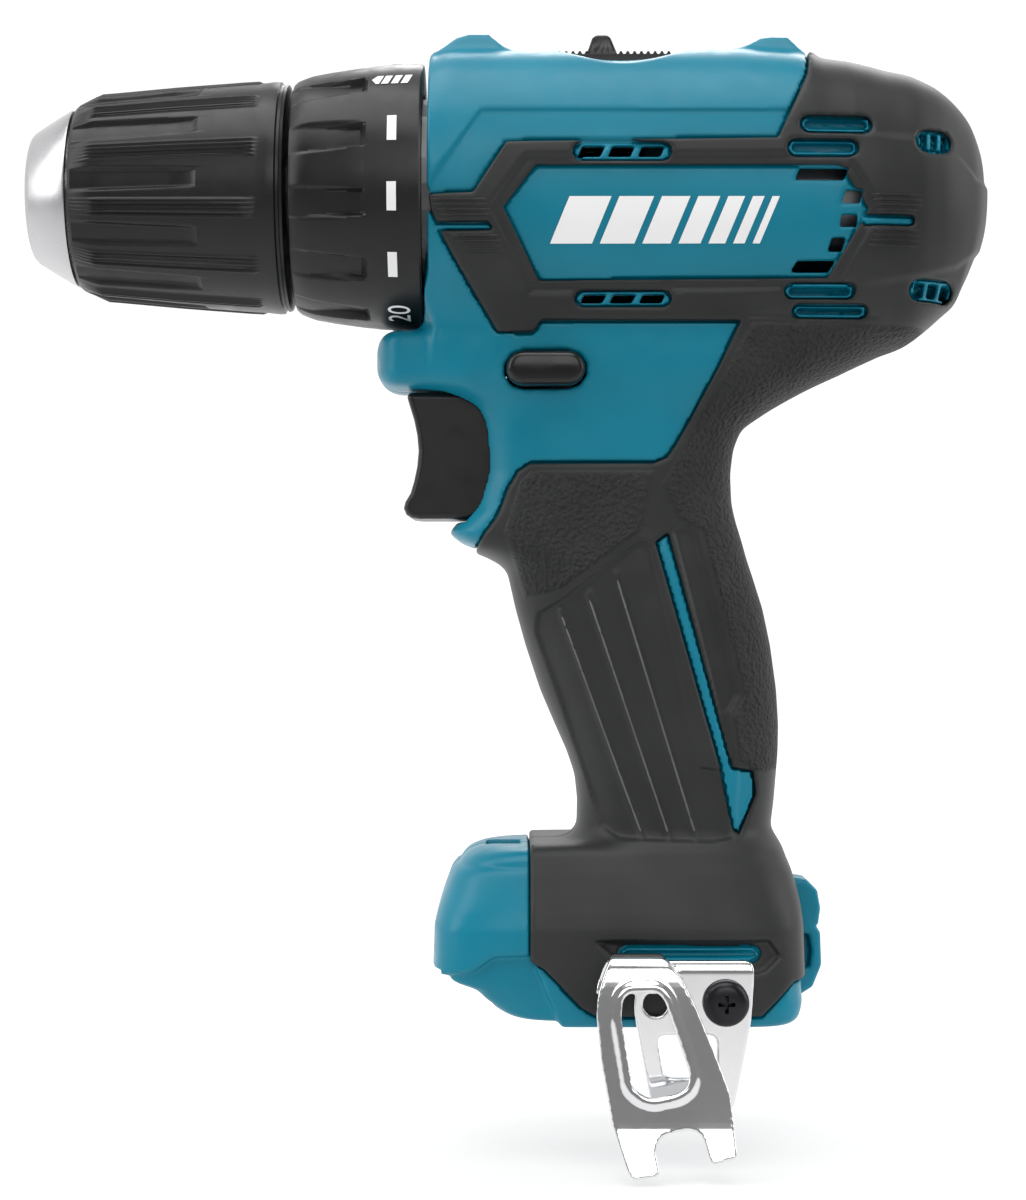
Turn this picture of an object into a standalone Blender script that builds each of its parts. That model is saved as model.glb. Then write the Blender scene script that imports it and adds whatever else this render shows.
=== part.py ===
"""Bare cordless drill driver, built as separate named solids.

Lengths below are millimetres and become metres when a mesh is made.
The chuck points to -X and the user's right hand side is +Y.
The origin is the middle of the battery terminal block's underside.
"""
import math

import bmesh
import bpy

MM = 0.001
AXIS_Z = 161.8
SEAM_GAP = 0.15
FIT = 0.3

# Housing walls, measured inwards from the outermost skin.
SHELL_INSET = 0.8
GRIP_INNER = 1.8
BED_INSET = 2.1
CAVITY_INSET = 4.0

# Overall sizes of the housing.
BARREL_HALF_WIDTH = 27.0
BARREL_TOP = 191.5
HANDLE_HALF_WIDTH = 16.8
FOOT_HALF_WIDTH = 25.0
SECTION_POINTS = 12
HOLLOW_POINTS = 12
RIB_GAP = 0.36
RIB_SIDES = 12
# The exact solver leaves slivers where these pieces' many skins meet.
SLIVER_PRONE = ("shell_", "grip_", "bed", "cavity", "sleeve_area", "motor_rib", "case_rib")

# Gearbox.
CASE_R = 19.5
CASE_INNER_R = 17.8
CASE_FRONT = -48.0
CASE_REAR = -13.3
NOSE_TUBE_R = 13.2
NOSE_TUBE_FRONT = -66.0
SHIFT_TRAVEL = 5.0
SHIFT_RING_FRONT = -34.0
SHIFT_RING_REAR = -25.0
SHIFT_CLEARANCE = 0.4
FIRST_STAGE_FRONT = SHIFT_RING_REAR + SHIFT_TRAVEL + SHIFT_CLEARANCE
PIN_R = 1.3
PLANET_BORE_R = 1.6
STAGE_1 = {"module": 0.8, "sun": 12, "planet": 12, "ring": 36}
STAGE_2 = {"module": 0.72, "sun": 14, "planet": 13, "ring": 40}
STAGE_3 = {"module": 0.8, "sun": 18, "planet": 9, "ring": 36}
FLANK_GAP = 0.07
PRESSURE_ANGLE = math.radians(20)

# Motor.
CAN_R = 18.0
CAN_WALL = 1.3
CAN_FRONT = 0.0
CAN_REAR = 52.0
SHAFT_R = 1.5

# Chuck.
CHUCK_OPENING_R = 5.0
JAW_ANGLE = math.radians(17)
JAW_R = 3.2
JAW_LENGTH = 24.0
JAW_START = -118.5
SLEEVE_FRONT = -111.5
SLEEVE_REAR = -69.5
SLEEVE_FRONT_R = 18.2
SLEEVE_REAR_R = 23.0
GRIP_SCOOPS = 12

# Controls.
TRIGGER_HALF_WIDTH = 9.0
TRIGGER_TRAVEL = 6.0
TRIGGER_REAR = -27.4
SWITCH_STOP_GAP = 3.4
SWITCH_FRONT = TRIGGER_REAR + TRIGGER_TRAVEL + SWITCH_STOP_GAP
LEVER_TRAVEL = 3.0
LEVER_PUSHED_IN = 18.0
LEVER_REACH = LEVER_PUSHED_IN + LEVER_TRAVEL
KNOB_FRONT = -19.5
KNOB_REAR = 6.3
SCREW_R = 1.25
SCREW_HEAD_R = 2.4
CLIP_SCREW_R = 1.6
CLIP_SCREW_AT = (14.9, 5.3)
CLIP_SCREW_END = -20.3
HOUSING_SCREWS = ((-35.0, 129.6), (36.0, 135.5), (11.0, 61.5), (-29.0, 21.0))


def clear_scene():
    for item in list(bpy.data.objects):
        bpy.data.objects.remove(item, do_unlink=True)


def material(name, colour, roughness, metallic):
    made = bpy.data.materials.new(name)
    made.use_nodes = True
    shader = made.node_tree.nodes["Principled BSDF"]
    shader.inputs["Base Color"].default_value = (*colour, 1.0)
    shader.inputs["Roughness"].default_value = roughness
    shader.inputs["Metallic"].default_value = metallic
    return made


def new_object(name, points, faces):
    """A closed mesh with its faces turned outwards."""
    mesh = bpy.data.meshes.new(name)
    mesh.from_pydata([(x * MM, y * MM, z * MM) for x, y, z in points], [], faces)
    work = bmesh.new()
    work.from_mesh(mesh)
    bmesh.ops.recalc_face_normals(work, faces=work.faces)
    work.to_mesh(mesh)
    work.free()
    made = bpy.data.objects.new(name, mesh)
    bpy.context.scene.collection.objects.link(made)
    return made


def stitch(first, first_count, second, second_count):
    """Faces between two rings of points that may differ in count."""
    if first_count == second_count:
        return [
            (first + i, first + (i + 1) % first_count,
             second + (i + 1) % first_count, second + i)
            for i in range(first_count)
        ]
    faces = []
    a = 0
    b = 0
    while a < first_count or b < second_count:
        if b >= second_count or (a < first_count and (a + 1) * second_count <= (b + 1) * first_count):
            faces.append((first + a % first_count, first + (a + 1) % first_count, second + b % second_count))
            a += 1
        else:
            faces.append((first + a % first_count, second + (b + 1) % second_count, second + b % second_count))
            b += 1
    return faces


def loft(name, rings, closed=False):
    """Skin through rings of points, capped at both ends or joined into a loop."""
    points = []
    starts = []
    for ring in rings:
        starts.append(len(points))
        points.extend(ring)
    faces = []
    last = len(rings) if closed else len(rings) - 1
    for i in range(last):
        j = (i + 1) % len(rings)
        faces.extend(stitch(starts[i], len(rings[i]), starts[j], len(rings[j])))
    if not closed:
        faces.append(tuple(range(len(rings[0]))))
        faces.append(tuple(starts[-1] + k for k in range(len(rings[-1]))))
    return new_object(name, points, faces)


def circle(x, radius, count, phase=0.0):
    ring = []
    for k in range(count):
        angle = phase + 2 * math.pi * k / count
        ring.append((x, radius * math.cos(angle), AXIS_Z + radius * math.sin(angle)))
    return ring


def lathe(name, profile, count=24, closed=True):
    """Turn (x, radius) corners about the spindle axis."""
    return loft(name, [circle(x, radius, count) for x, radius in profile], closed)


def tube(name, x_low, x_high, inner, outer, count=24):
    return lathe(name, [(x_low, inner), (x_low, outer), (x_high, outer), (x_high, inner)], count)


def box(name, low, high):
    corners = [(x, y, z) for x in (low[0], high[0]) for y in (low[1], high[1]) for z in (low[2], high[2])]
    faces = [(0, 1, 3, 2), (4, 6, 7, 5), (0, 4, 5, 1), (2, 3, 7, 6), (0, 2, 6, 4), (1, 5, 7, 3)]
    return new_object(name, corners, faces)


def prism_y(name, outline, y_low, y_high):
    """Outline in X and Z, pulled along Y."""
    return loft(name, [[(x, y_low, z) for x, z in outline], [(x, y_high, z) for x, z in outline]])


def prism_x(name, outline, x_low, x_high):
    """Outline in Y and Z, pulled along X."""
    return loft(name, [[(x_low, y, z) for y, z in outline], [(x_high, y, z) for y, z in outline]])


def rod(name, start, end, radius, count=12):
    """A round bar between two points."""
    direction = [e - s for s, e in zip(start, end)]
    length = math.sqrt(sum(d * d for d in direction))
    forward = [d / length for d in direction]
    helper = (0.0, 0.0, 1.0) if abs(forward[2]) < 0.9 else (1.0, 0.0, 0.0)
    side = cross(forward, helper)
    size = math.sqrt(sum(s * s for s in side))
    side = [s / size for s in side]
    up = cross(side, forward)
    rings = []
    for centre in (start, end):
        ring = []
        for k in range(count):
            angle = 2 * math.pi * k / count
            ring.append(tuple(
                centre[i] + radius * (math.cos(angle) * side[i] + math.sin(angle) * up[i])
                for i in range(3)
            ))
        rings.append(ring)
    return loft(name, rings)


def cross(a, b):
    return [a[1] * b[2] - a[2] * b[1], a[2] * b[0] - a[0] * b[2], a[0] * b[1] - a[1] * b[0]]


def coil(name, x_low, x_high, radius, wire, turns, centre_z=AXIS_Z, per_turn=12, sides=6):
    """A helical spring along X."""
    rings = []
    count = int(turns * per_turn)
    for k in range(count + 1):
        angle = 2 * math.pi * k / per_turn
        x = x_low + wire + (x_high - x_low - 2 * wire) * k / count
        ring = []
        for s in range(sides):
            turn = 2 * math.pi * s / sides
            reach = radius + wire * math.cos(turn)
            ring.append((x + wire * math.sin(turn), reach * math.cos(angle), centre_z + reach * math.sin(angle)))
        rings.append(ring)
    return loft(name, rings)


def combine(target, other, operation):
    """Apply one Boolean and remove the second solid."""
    modifier = target.modifiers.new("combine", "BOOLEAN")
    modifier.operation = operation
    modifier.solver = "MANIFOLD" if target.name.startswith(SLIVER_PRONE) else "EXACT"
    modifier.object = other
    graph = bpy.context.evaluated_depsgraph_get()
    result = bpy.data.meshes.new_from_object(target.evaluated_get(graph))
    target.modifiers.clear()
    target.data = result
    bpy.data.objects.remove(other, do_unlink=True)
    return target


def add(target, other):
    return combine(target, other, "UNION")


def cut(target, other):
    return combine(target, other, "DIFFERENCE")


def keep(target, other):
    return combine(target, other, "INTERSECT")


def copy_of(source, name):
    made = bpy.data.objects.new(name, source.data.copy())
    bpy.context.scene.collection.objects.link(made)
    return made


def joined(name, pieces):
    """Several separate solids as one cutting mesh."""
    work = bmesh.new()
    for piece in pieces:
        work.from_mesh(piece.data)
        bpy.data.objects.remove(piece, do_unlink=True)
    mesh = bpy.data.meshes.new(name)
    work.to_mesh(mesh)
    work.free()
    made = bpy.data.objects.new(name, mesh)
    bpy.context.scene.collection.objects.link(made)
    return made


def mirrored(source, name):
    """A copy reflected through the middle plane."""
    made = copy_of(source, name)
    work = bmesh.new()
    work.from_mesh(made.data)
    for vertex in work.verts:
        vertex.co.y = -vertex.co.y
    bmesh.ops.reverse_faces(work, faces=work.faces)
    work.to_mesh(made.data)
    work.free()
    return made


# Gears ---------------------------------------------------------------------

def tooth_half_angle(teeth, module, radius):
    """Half the angle of one involute tooth at a radius."""
    base = 0.5 * module * teeth * math.cos(PRESSURE_ANGLE)
    slope = math.acos(min(1.0, base / radius))
    return (math.pi / (2 * teeth) + math.tan(PRESSURE_ANGLE) - PRESSURE_ANGLE
            - (math.tan(slope) - slope))


def gear_ring(x, teeth, module, phase, root, tip, gap):
    """Points of a toothed outline, four to a tooth."""
    ring = []
    for tooth in range(teeth):
        middle = phase + 2 * math.pi * tooth / teeth
        low = tooth_half_angle(teeth, module, root) - gap / root
        high = tooth_half_angle(teeth, module, tip) - gap / tip
        low = min(low, math.pi / teeth * 0.92)
        for offset, radius in ((-low, root), (-high, tip), (high, tip), (low, root)):
            angle = middle + offset
            ring.append((x, radius * math.cos(angle), AXIS_Z + radius * math.sin(angle)))
    return ring


def external_gear(name, x_low, x_high, teeth, module, phase=0.0, bore=None, centre=(0.0, 0.0), bore_count=12):
    """Spur gear, solid or bored, with its middle set off from the spindle axis."""
    pitch = 0.5 * module * teeth
    root = pitch - 1.2 * module
    tip = pitch + 0.9 * module
    rings = [gear_ring(x, teeth, module, phase, root, tip, FLANK_GAP) for x in (x_low, x_high)]
    if bore:
        rings.append(circle(x_high, bore, bore_count, phase))
        rings.append(circle(x_low, bore, bore_count, phase))
    moved = [[(x, y + centre[0], z + centre[1]) for x, y, z in ring] for ring in rings]
    return loft(name, moved, closed=bool(bore))


def ring_gear(name, x_low, x_high, teeth, module, phase, outer, groove=None):
    """Internal gear with a plain or grooved outside."""
    pitch = 0.5 * module * teeth
    tip = pitch - 0.9 * module
    root = pitch + 1.2 * module
    inside = []
    for x in (x_high, x_low):
        ring = []
        for tooth in range(teeth):
            middle = phase + 2 * math.pi * tooth / teeth
            at_tip = math.pi / teeth - internal_space(teeth, module, tip)
            at_root = math.pi / teeth - internal_space(teeth, module, root)
            at_root = max(at_root, math.pi / teeth * 0.08)
            for offset, radius in ((-at_root, root), (-at_tip, tip), (at_tip, tip), (at_root, root)):
                angle = middle + offset
                ring.append((x, radius * math.cos(angle), AXIS_Z + radius * math.sin(angle)))
        inside.append(ring)
    outside = [(x_low, outer)]
    if groove:
        start, end, depth = groove
        outside += [(start, outer), (start, outer - depth), (end, outer - depth), (end, outer)]
    outside.append((x_high, outer))
    start_angle = phase - (math.pi / teeth - internal_space(teeth, module, root))
    rings = [circle(x, radius, teeth // 2, start_angle) for x, radius in outside]
    return loft(name, rings + inside, closed=True)


def internal_space(teeth, module, radius):
    """Half the angle of the space between two internal teeth."""
    return tooth_half_angle(teeth, module, radius) + FLANK_GAP / radius


def planet_phase(stage, orbit_angle, sun_phase=0.0):
    teeth = stage["planet"]
    step = (orbit_angle - sun_phase) * stage["sun"] / (2 * math.pi)
    return orbit_angle + math.pi - (2 * math.pi / teeth) * (0.5 - (step - math.floor(step)))


def ring_phase(stage):
    """A ring tooth space faces the tooth of the planet at angle zero."""
    step = -planet_phase(stage, 0.0) * stage["planet"] / (2 * math.pi)
    tooth = step - math.floor(step)
    return -(2 * math.pi / stage["ring"]) * (tooth + 0.5)


def orbit_radius(stage):
    return 0.5 * stage["module"] * (stage["sun"] + stage["planet"])


def planets(number, stage, x_low, x_high):
    made = []
    for k in range(3):
        angle = 2 * math.pi * k / 3
        reach = orbit_radius(stage)
        centre = (reach * math.cos(angle), reach * math.sin(angle))
        gear = external_gear(
            "planet_%d_%s" % (number, "abc"[k]), x_low, x_high, stage["planet"], stage["module"],
            planet_phase(stage, angle), PLANET_BORE_R, centre)
        made.append(gear)
    return made


def add_pins(target, stage, x_low, x_high):
    for k in range(3):
        angle = 2 * math.pi * k / 3
        y = orbit_radius(stage) * math.cos(angle)
        z = AXIS_Z + orbit_radius(stage) * math.sin(angle)
        add(target, rod("pin", (x_low, y, z), (x_high, y, z), PIN_R, 12))
    return target


# Housing -------------------------------------------------------------------

def oval(half_a, half_b, power, inset):
    """Corners of a rounded rectangle, as offsets from its middle."""
    corners = []
    count = HOLLOW_POINTS if inset >= GRIP_INNER else SECTION_POINTS
    for k in range(count):
        angle = 2 * math.pi * (k + 0.5) / count
        c = math.cos(angle)
        s = math.sin(angle)
        corners.append((
            half_a * math.copysign(abs(c) ** (2 / power), c),
            half_b * math.copysign(abs(s) ** (2 / power), s),
        ))
    return corners


def loft_x(name, sections, inset):
    """Sections across X: x, low z, high z, half width, squareness."""
    rings = []
    for index, (x, low, high, half_width, power) in enumerate(sections):
        x += inset if index == 0 else (-inset if index == len(sections) - 1 else 0.0)
        middle = 0.5 * (low + high)
        ring = [(x, y, middle + z) for y, z in oval(half_width - inset, 0.5 * (high - low) - inset, power, inset)]
        rings.append(ring)
    return loft(name, rings)


def loft_z(name, sections, inset):
    """Sections across Z: z, front x, rear x, half width, squareness."""
    rings = []
    for index, (z, front, rear, half_width, power) in enumerate(sections):
        z += inset if index == 0 else (-inset if index == len(sections) - 1 else 0.0)
        middle = 0.5 * (front + rear)
        ring = [(middle + x, y, z) for x, y in oval(0.5 * (rear - front) - inset, half_width - inset, power, inset)]
        rings.append(ring)
    return loft(name, rings)


def barrel_sections():
    w = BARREL_HALF_WIDTH
    top = BARREL_TOP
    return (
        (-42.6, 135.0, top - 2.0, w - 1.0, 2.3),
        (-38.5, 134.0, top - 0.4, w, 2.4),
        (20.0, 133.0, top, w, 2.45),
        (38.0, 132.5, top - 2.6, w - 0.5, 2.4),
        (52.0, 133.5, top - 5.4, w - 3.0, 2.3),
        (61.0, 138.5, top - 10.5, w - 8.0, 2.2),
        (66.0, 146.0, top - 17.0, w - 14.0, 2.1),
        (68.2, 152.0, top - 25.0, w - 19.0, 2.1),
    )


def keel_sections():
    return (
        (-41.5, 123.4, 146.0, 15.0, 4.0),
        (-20.0, 120.0, 148.0, 17.5, 3.6),
        (20.0, 118.0, 150.0, 18.5, 3.2),
        (34.0, 123.6, 150.0, 18.0, 3.0),
        (46.0, 128.2, 152.0, 16.0, 3.0),
        (57.0, 134.0, 156.0, 13.5, 3.0),
        (64.0, 142.0, 160.0, 10.0, 3.0),
    )


def nose_sections():
    return (
        (-52.4, 124.4, 133.9, 10.5, 4.0),
        (-51.2, 123.2, 134.9, 12.5, 4.0),
        (-36.0, 122.8, 134.9, 14.5, 4.0),
    )


def handle_sections():
    w = HANDLE_HALF_WIDTH
    return (
        (22.0, -12.0, 25.0, w - 1.0, 2.8),
        (38.0, -13.0, 26.0, w, 2.7),
        (46.0, -13.6, 27.0, w, 2.6),
        (57.0, -17.3, 27.4, w, 2.5),
        (65.0, -20.6, 27.0, w, 2.5),
        (74.0, -23.6, 25.6, w, 2.5),
        (82.0, -25.6, 24.0, w, 2.6),
        (88.5, -27.4, 21.6, w - 0.1, 2.7),
        (92.6, -34.5, 20.2, w - 0.2, 3.2),
        (96.6, -36.8, 18.9, w - 0.2, 3.4),
        (99.5, -33.6, 18.1, w - 0.2, 3.0),
        (108.0, -32.4, 17.9, w, 2.9),
        (114.0, -32.6, 19.2, w + 0.3, 2.9),
        (120.0, -34.6, 24.0, w + 0.8, 2.9),
        (126.0, -38.0, 33.0, w + 1.4, 3.0),
        (140.0, -38.0, 40.0, w + 2.0, 3.0),
    )


def foot_sections():
    w = FOOT_HALF_WIDTH
    return (
        (0.0, -27.0, 29.6, w - 1.2, 7.0),
        (4.4, -33.5, 31.3, w, 6.5),
        (8.2, -40.0, 31.6, w, 6.5),
        (14.0, -41.2, 31.5, w, 6.0),
        (20.0, -40.8, 31.2, w - 0.5, 5.5),
        (26.0, -38.8, 30.2, w - 2.0, 5.0),
        (31.0, -35.6, 28.0, w - 4.5, 4.6),
        (34.5, -27.0, 26.5, w - 7.0, 4.2),
    )


def front_hump_sections():
    top = BARREL_TOP
    return (
        (-41.5, 183.0, top - 1.6, 8.6, 4.0),
        (-37.0, 183.0, top + 1.9, 9.0, 4.0),
        (-29.5, 183.0, top + 2.7, 9.0, 4.0),
        (-25.5, 183.0, top - 0.6, 8.6, 4.0),
    )


def rear_hump_sections():
    top = BARREL_TOP
    return (
        (16.5, 183.0, top - 0.6, 8.6, 4.0),
        (23.0, 183.0, top + 2.2, 9.0, 4.0),
        (29.5, 183.0, top + 2.2, 9.0, 4.0),
        (34.5, 180.0, top - 3.4, 8.6, 4.0),
    )


def housing(name, inset):
    """Whole housing outline at one depth below the skin."""
    body = loft_x(name, barrel_sections(), inset)
    add(body, loft_x("keel", keel_sections(), inset))
    add(body, loft_x("nose", nose_sections(), inset))
    add(body, loft_z("handle", handle_sections(), inset))
    add(body, loft_z("foot", foot_sections(), inset))
    if inset < CAVITY_INSET:
        add(body, loft_x("front_hump", front_hump_sections(), inset))
        add(body, loft_x("rear_hump", rear_hump_sections(), inset))
    return body


GRIP_OUTLINE = (
    (-60.0, 92.4), (-33.0, 92.4), (-30.8, 94.9), (-28.5, 98.1), (-26.3, 103.7), (-24.4, 106.8),
    (-22.0, 108.2), (1.7, 108.2), (4.4, 109.3), (6.3, 112.1), (9.2, 117.2), (14.2, 126.6),
    (18.3, 135.3), (-19.9, 135.4), (-21.3, 133.2), (-28.4, 133.3), (-36.9, 147.3),
    (-39.2, 151.4), (-41.2, 156.0), (-41.6, 158.8), (-33.0, 159.2), (-26.7, 168.8),
    (24.9, 169.6), (31.0, 182.6), (35.0, 199.0), (80.0, 199.0), (80.0, 100.0), (50.0, 60.0),
    (50.0, 8.5), (28.6, 8.5), (22.0, 2.4), (-9.4, 2.4), (-12.5, 3.9), (-16.7, 8.3), (-19.7, 11.3),
    (-22.2, 12.6), (-22.2, 36.5), (-60.0, 36.5),
)
PANEL_OUTLINE = (
    (-21.2, 164.1), (37.0, 164.3), (42.1, 156.0), (34.8, 143.5), (-20.3, 143.1), (-27.1, 156.5),
)


def grown(outline, amount):
    """Outline pushed out by an amount; a negative amount pulls it in."""
    area = 0.0
    count = len(outline)
    for i in range(count):
        x0, z0 = outline[i]
        x1, z1 = outline[(i + 1) % count]
        area += x0 * z1 - x1 * z0
    sign = 1.0 if area > 0 else -1.0
    result = []
    for i in range(count):
        before = outline[i - 1]
        here = outline[i]
        after = outline[(i + 1) % count]
        normals = []
        for a, b in ((before, here), (here, after)):
            dx = b[0] - a[0]
            dz = b[1] - a[1]
            size = math.hypot(dx, dz)
            normals.append((sign * dz / size, -sign * dx / size))
        bend = 1 + normals[0][0] * normals[1][0] + normals[0][1] * normals[1][1]
        bend = max(bend, 0.5)
        result.append((
            here[0] + amount * (normals[0][0] + normals[1][0]) / bend,
            here[1] + amount * (normals[0][1] + normals[1][1]) / bend,
        ))
    return result


def pattern(name, gap):
    """The rubber's area as a pair of prisms, widened by a gap."""
    shape = prism_y(name, grown(GRIP_OUTLINE, gap), -60.0, 60.0)
    cut(shape, prism_y("panel", grown(PANEL_OUTLINE, -gap), -70.0, 70.0))
    return shape


def pill(name, centre, half_length, half_height, y_low, y_high):
    """A round-ended bar across Y."""
    outline = []
    for k in range(16):
        angle = 2 * math.pi * (k + 0.5) / 16
        side = 1.0 if math.cos(angle) > 0 else -1.0
        x = side * (half_length - half_height) + half_height * math.cos(angle)
        outline.append((centre[0] + x, centre[1] + half_height * math.sin(angle)))
    return prism_y(name, outline, y_low, y_high)


def vent_cutters():
    """Side slots through the housing."""
    cutters = []
    reach = 40.0
    slots = []
    for low, high in ((165.6, 168.0), (138.6, 141.0)):
        for k in range(3):
            start = -13.9 + k * 6.4
            slots.append((start, start + 4.9, low, high))
    for low, high in ((170.8, 173.4), (166.2, 168.8), (139.6, 142.2), (135.9, 138.0)):
        for k in range(2):
            start = 27.6 + k * 7.0
            slots.append((start, start + 5.2, low, high))
    for low, high in ((167.3, 171.2), (139.8, 143.6)):
        slots.append((51.8, 54.6, low, high))
        slots.append((56.0, 58.6, low, high))
    for start, end, low, high in ((28.2, 36.6, 160.9, 163.0), (33.5, 38.6, 157.0, 159.2),
                                  (33.5, 38.2, 152.8, 154.8), (31.5, 36.4, 148.6, 150.6),
                                  (27.0, 34.0, 145.0, 146.6)):
        slots.append((start, end, low, high))
    for start, end, low, high in slots:
        lean = 0.35 * (high - low)
        outline = [(start, low), (end - lean, low), (end, high), (start + lean, high)]
        cutters.append(prism_y("slot", outline, -reach, reach))
    return cutters


def openings():
    """Everything cut through both shells and the rubber."""
    cutters = vent_cutters()
    cutters.append(lathe("front", [(-60.0, CASE_R + FIT), (-30.0, CASE_R + FIT)], 24, closed=False))
    return joined("openings", cutters)


def shell_openings():
    """Holes for the trigger, lever, knob, lamp and battery."""
    cutters = [
        box("trigger_hole", (-60.0, -TRIGGER_HALF_WIDTH - FIT, 96.9),
            (-24.0, TRIGGER_HALF_WIDTH + FIT, 123.0)),
        pill("lever_hole", (-19.1, 126.2), 7.9, 3.6, -30.0, 30.0),
        box("knob_hole", (KNOB_FRONT - FIT, -7.0, 184.0), (KNOB_REAR + SHIFT_TRAVEL + FIT, 7.0, 205.0)),
        box("lamp_hole", (-31.0, -4.3, 24.0), (-23.8, 4.3, 45.0)),
        box("bay_low", (-50.0, -16.8, -5.0), (23.0, 16.8, 4.2)),
        box("bay_high", (-50.0, -19.2, 4.1), (23.0, 19.2, 10.4)),
        box("strap_hole", (31.9, -8.0, 8.4), (34.4, 8.0, 16.6)),
    ]
    return cutters


def strap_loop(inset):
    outline = [(28.0, 4.4), (34.2, 5.8), (36.2, 9.0), (36.4, 15.0), (35.6, 20.4), (34.0, 22.8), (28.0, 24.6)]
    return prism_y("strap_loop", outline, -4.5 + inset, 4.5 - inset)


def build_shells():
    """Both shell halves and both rubber skins."""
    outer = housing("shell_left", SHELL_INSET)
    add(outer, strap_loop(0.0))
    bed = housing("bed", BED_INSET)
    grip = housing("grip_left", 0.0)
    grip_core = housing("grip_core", GRIP_INNER)
    cavity = housing("cavity", CAVITY_INSET)

    cut_ribs_from(cavity)
    sleeve = pattern("sleeve_area", FIT)
    cut(sleeve, bed)
    cut(outer, cavity)
    cut(outer, sleeve)
    keep(outer, box("left_half", (-80.0, -60.0, -20.0), (90.0, -SEAM_GAP, 220.0)))

    cut(grip, grip_core)
    keep(grip, pattern("grip_area", 0.0))
    keep(grip, box("left_half", (-80.0, -60.0, -20.0), (90.0, -SEAM_GAP, 220.0)))

    through = openings()
    cut(outer, copy_of(through, "through_copy"))
    cut(grip, through)
    for cutter in shell_openings():
        cut(outer, copy_of(cutter, "cutter_copy"))
        cut(grip, cutter)
    cut(grip, box("strap_room", (27.0, -4.9, 4.0), (40.0, 4.9, 25.0)))
    cut(grip, box("trigger_room", (-60.0, -TRIGGER_HALF_WIDTH - 0.6, 96.6),
                  (-24.0, TRIGGER_HALF_WIDTH + 0.6, 123.3)))

    right_shell = mirrored(outer, "shell_right")
    right_grip = mirrored(grip, "grip_right")
    x, z = CLIP_SCREW_AT
    for piece in (outer, grip):
        cut(piece, rod("clip_hole", (x, -40.0, z), (x, CLIP_SCREW_END + FIT, z), CLIP_SCREW_R + FIT, 10))
    for x, z in HOUSING_SCREWS:
        cut(outer, rod("screw_hole", (x, -9.0, z), (x, 1.0, z), SCREW_R + FIT, 8))
        cut(right_shell, rod("screw_hole", (x, -1.0, z), (x, 40.0, z), SCREW_R + FIT, 8))
        seat = head_seat(z)
        cut(right_shell, rod("head_hole", (x, seat, z), (x, 40.0, z), SCREW_HEAD_R + FIT, 10))
        cut(right_grip, rod("head_hole", (x, 0.0, z), (x, 40.0, z), SCREW_HEAD_R + FIT, 10))
    return [outer, right_shell, grip, right_grip]


def head_seat(z):
    """Depth at which a housing screw's head sits."""
    if z > 130:
        return 13.0
    if z > 100:
        return 11.5
    if z > 40:
        return HANDLE_HALF_WIDTH - 3.8
    return FOOT_HALF_WIDTH - 4.5


def cut_ribs_from(cavity):
    """Leave ribs and screw posts standing in the hollow."""
    corner = math.cos(math.pi / RIB_SIDES)
    motor_rib = tube("motor_rib", 20.0, 22.0, (CAN_R + RIB_GAP) / corner, 40.0, RIB_SIDES)
    case_rib = tube("case_rib", -17.0, -15.0, (CASE_R + RIB_GAP) / corner, 40.0, RIB_SIDES)
    clear = box("shift_room", (-36.0, -12.0, 176.0), (16.0, 12.0, 205.0))
    for rib in (motor_rib, case_rib):
        cut(rib, copy_of(clear, "clear_copy"))
        cut(rib, box("handle_room", (-30.0, -30.0, 90.0), (60.0, 30.0, 143.0)))
        cut(cavity, rib)
    bpy.data.objects.remove(clear, do_unlink=True)
    for x, z in HOUSING_SCREWS:
        cut(cavity, rod("post", (x, -40.0, z), (x, 40.0, z), 3.9, 10))
    for low in (92.2, 120.9):
        cut(cavity, box("switch_shelf", (-14.0, -30.0, low), (2.0, 30.0, low + 1.5)))
    cut(cavity, box("bay_roof", (-45.0, -30.0, -5.0), (26.5, 30.0, 13.0)))


def build_screws():
    made = []
    for index, (x, z) in enumerate(HOUSING_SCREWS):
        seat = head_seat(z)
        screw = rod("case_screw_%d" % (index + 1), (x, -8.0, z), (x, seat + 1.0, z), SCREW_R, 8)
        head = rod("head", (x, seat + FIT, z), (x, seat + FIT + 2.0, z), SCREW_HEAD_R, 10)
        add(screw, head)
        cut_cross(screw, x, z, seat + FIT + 2.0, 1.0, 1.0)
        made.append(screw)
    return made


def cut_cross(target, x, z, face, depth, side):
    """Cross recess in a screw head that faces along Y."""
    low = min(face, face - side * depth)
    high = max(face, face - side * depth)
    pad = 0.5
    if side > 0:
        high += pad
    else:
        low -= pad
    cut(target, box("slot_a", (x - 1.3, low, z - 0.35), (x + 1.3, high, z + 0.35)))
    cut(target, box("slot_b", (x - 0.35, low, z - 1.3), (x + 0.35, high, z + 1.3)))


# Drive train ---------------------------------------------------------------

def build_gear_case():
    profile = [
        (NOSE_TUBE_FRONT, 10.0), (NOSE_TUBE_FRONT, NOSE_TUBE_R), (CASE_FRONT, NOSE_TUBE_R),
        (CASE_FRONT, CASE_R), (CASE_REAR, CASE_R), (CASE_REAR, CASE_INNER_R),
        (CASE_FRONT + 1.8, CASE_INNER_R), (CASE_FRONT + 1.8, 10.8), (NOSE_TUBE_FRONT + 0.8, 10.8),
        (NOSE_TUBE_FRONT + 0.8, 10.0),
    ]
    case = lathe("gear_case", profile, 24)
    for side in (-1, 1):
        low = min(side * 15.0, side * 22.0)
        cut(case, box("shift_slot", (-31.0, low, AXIS_Z - 1.3), (-22.6, low + 7.0, AXIS_Z + 1.3)))
    return case


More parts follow.
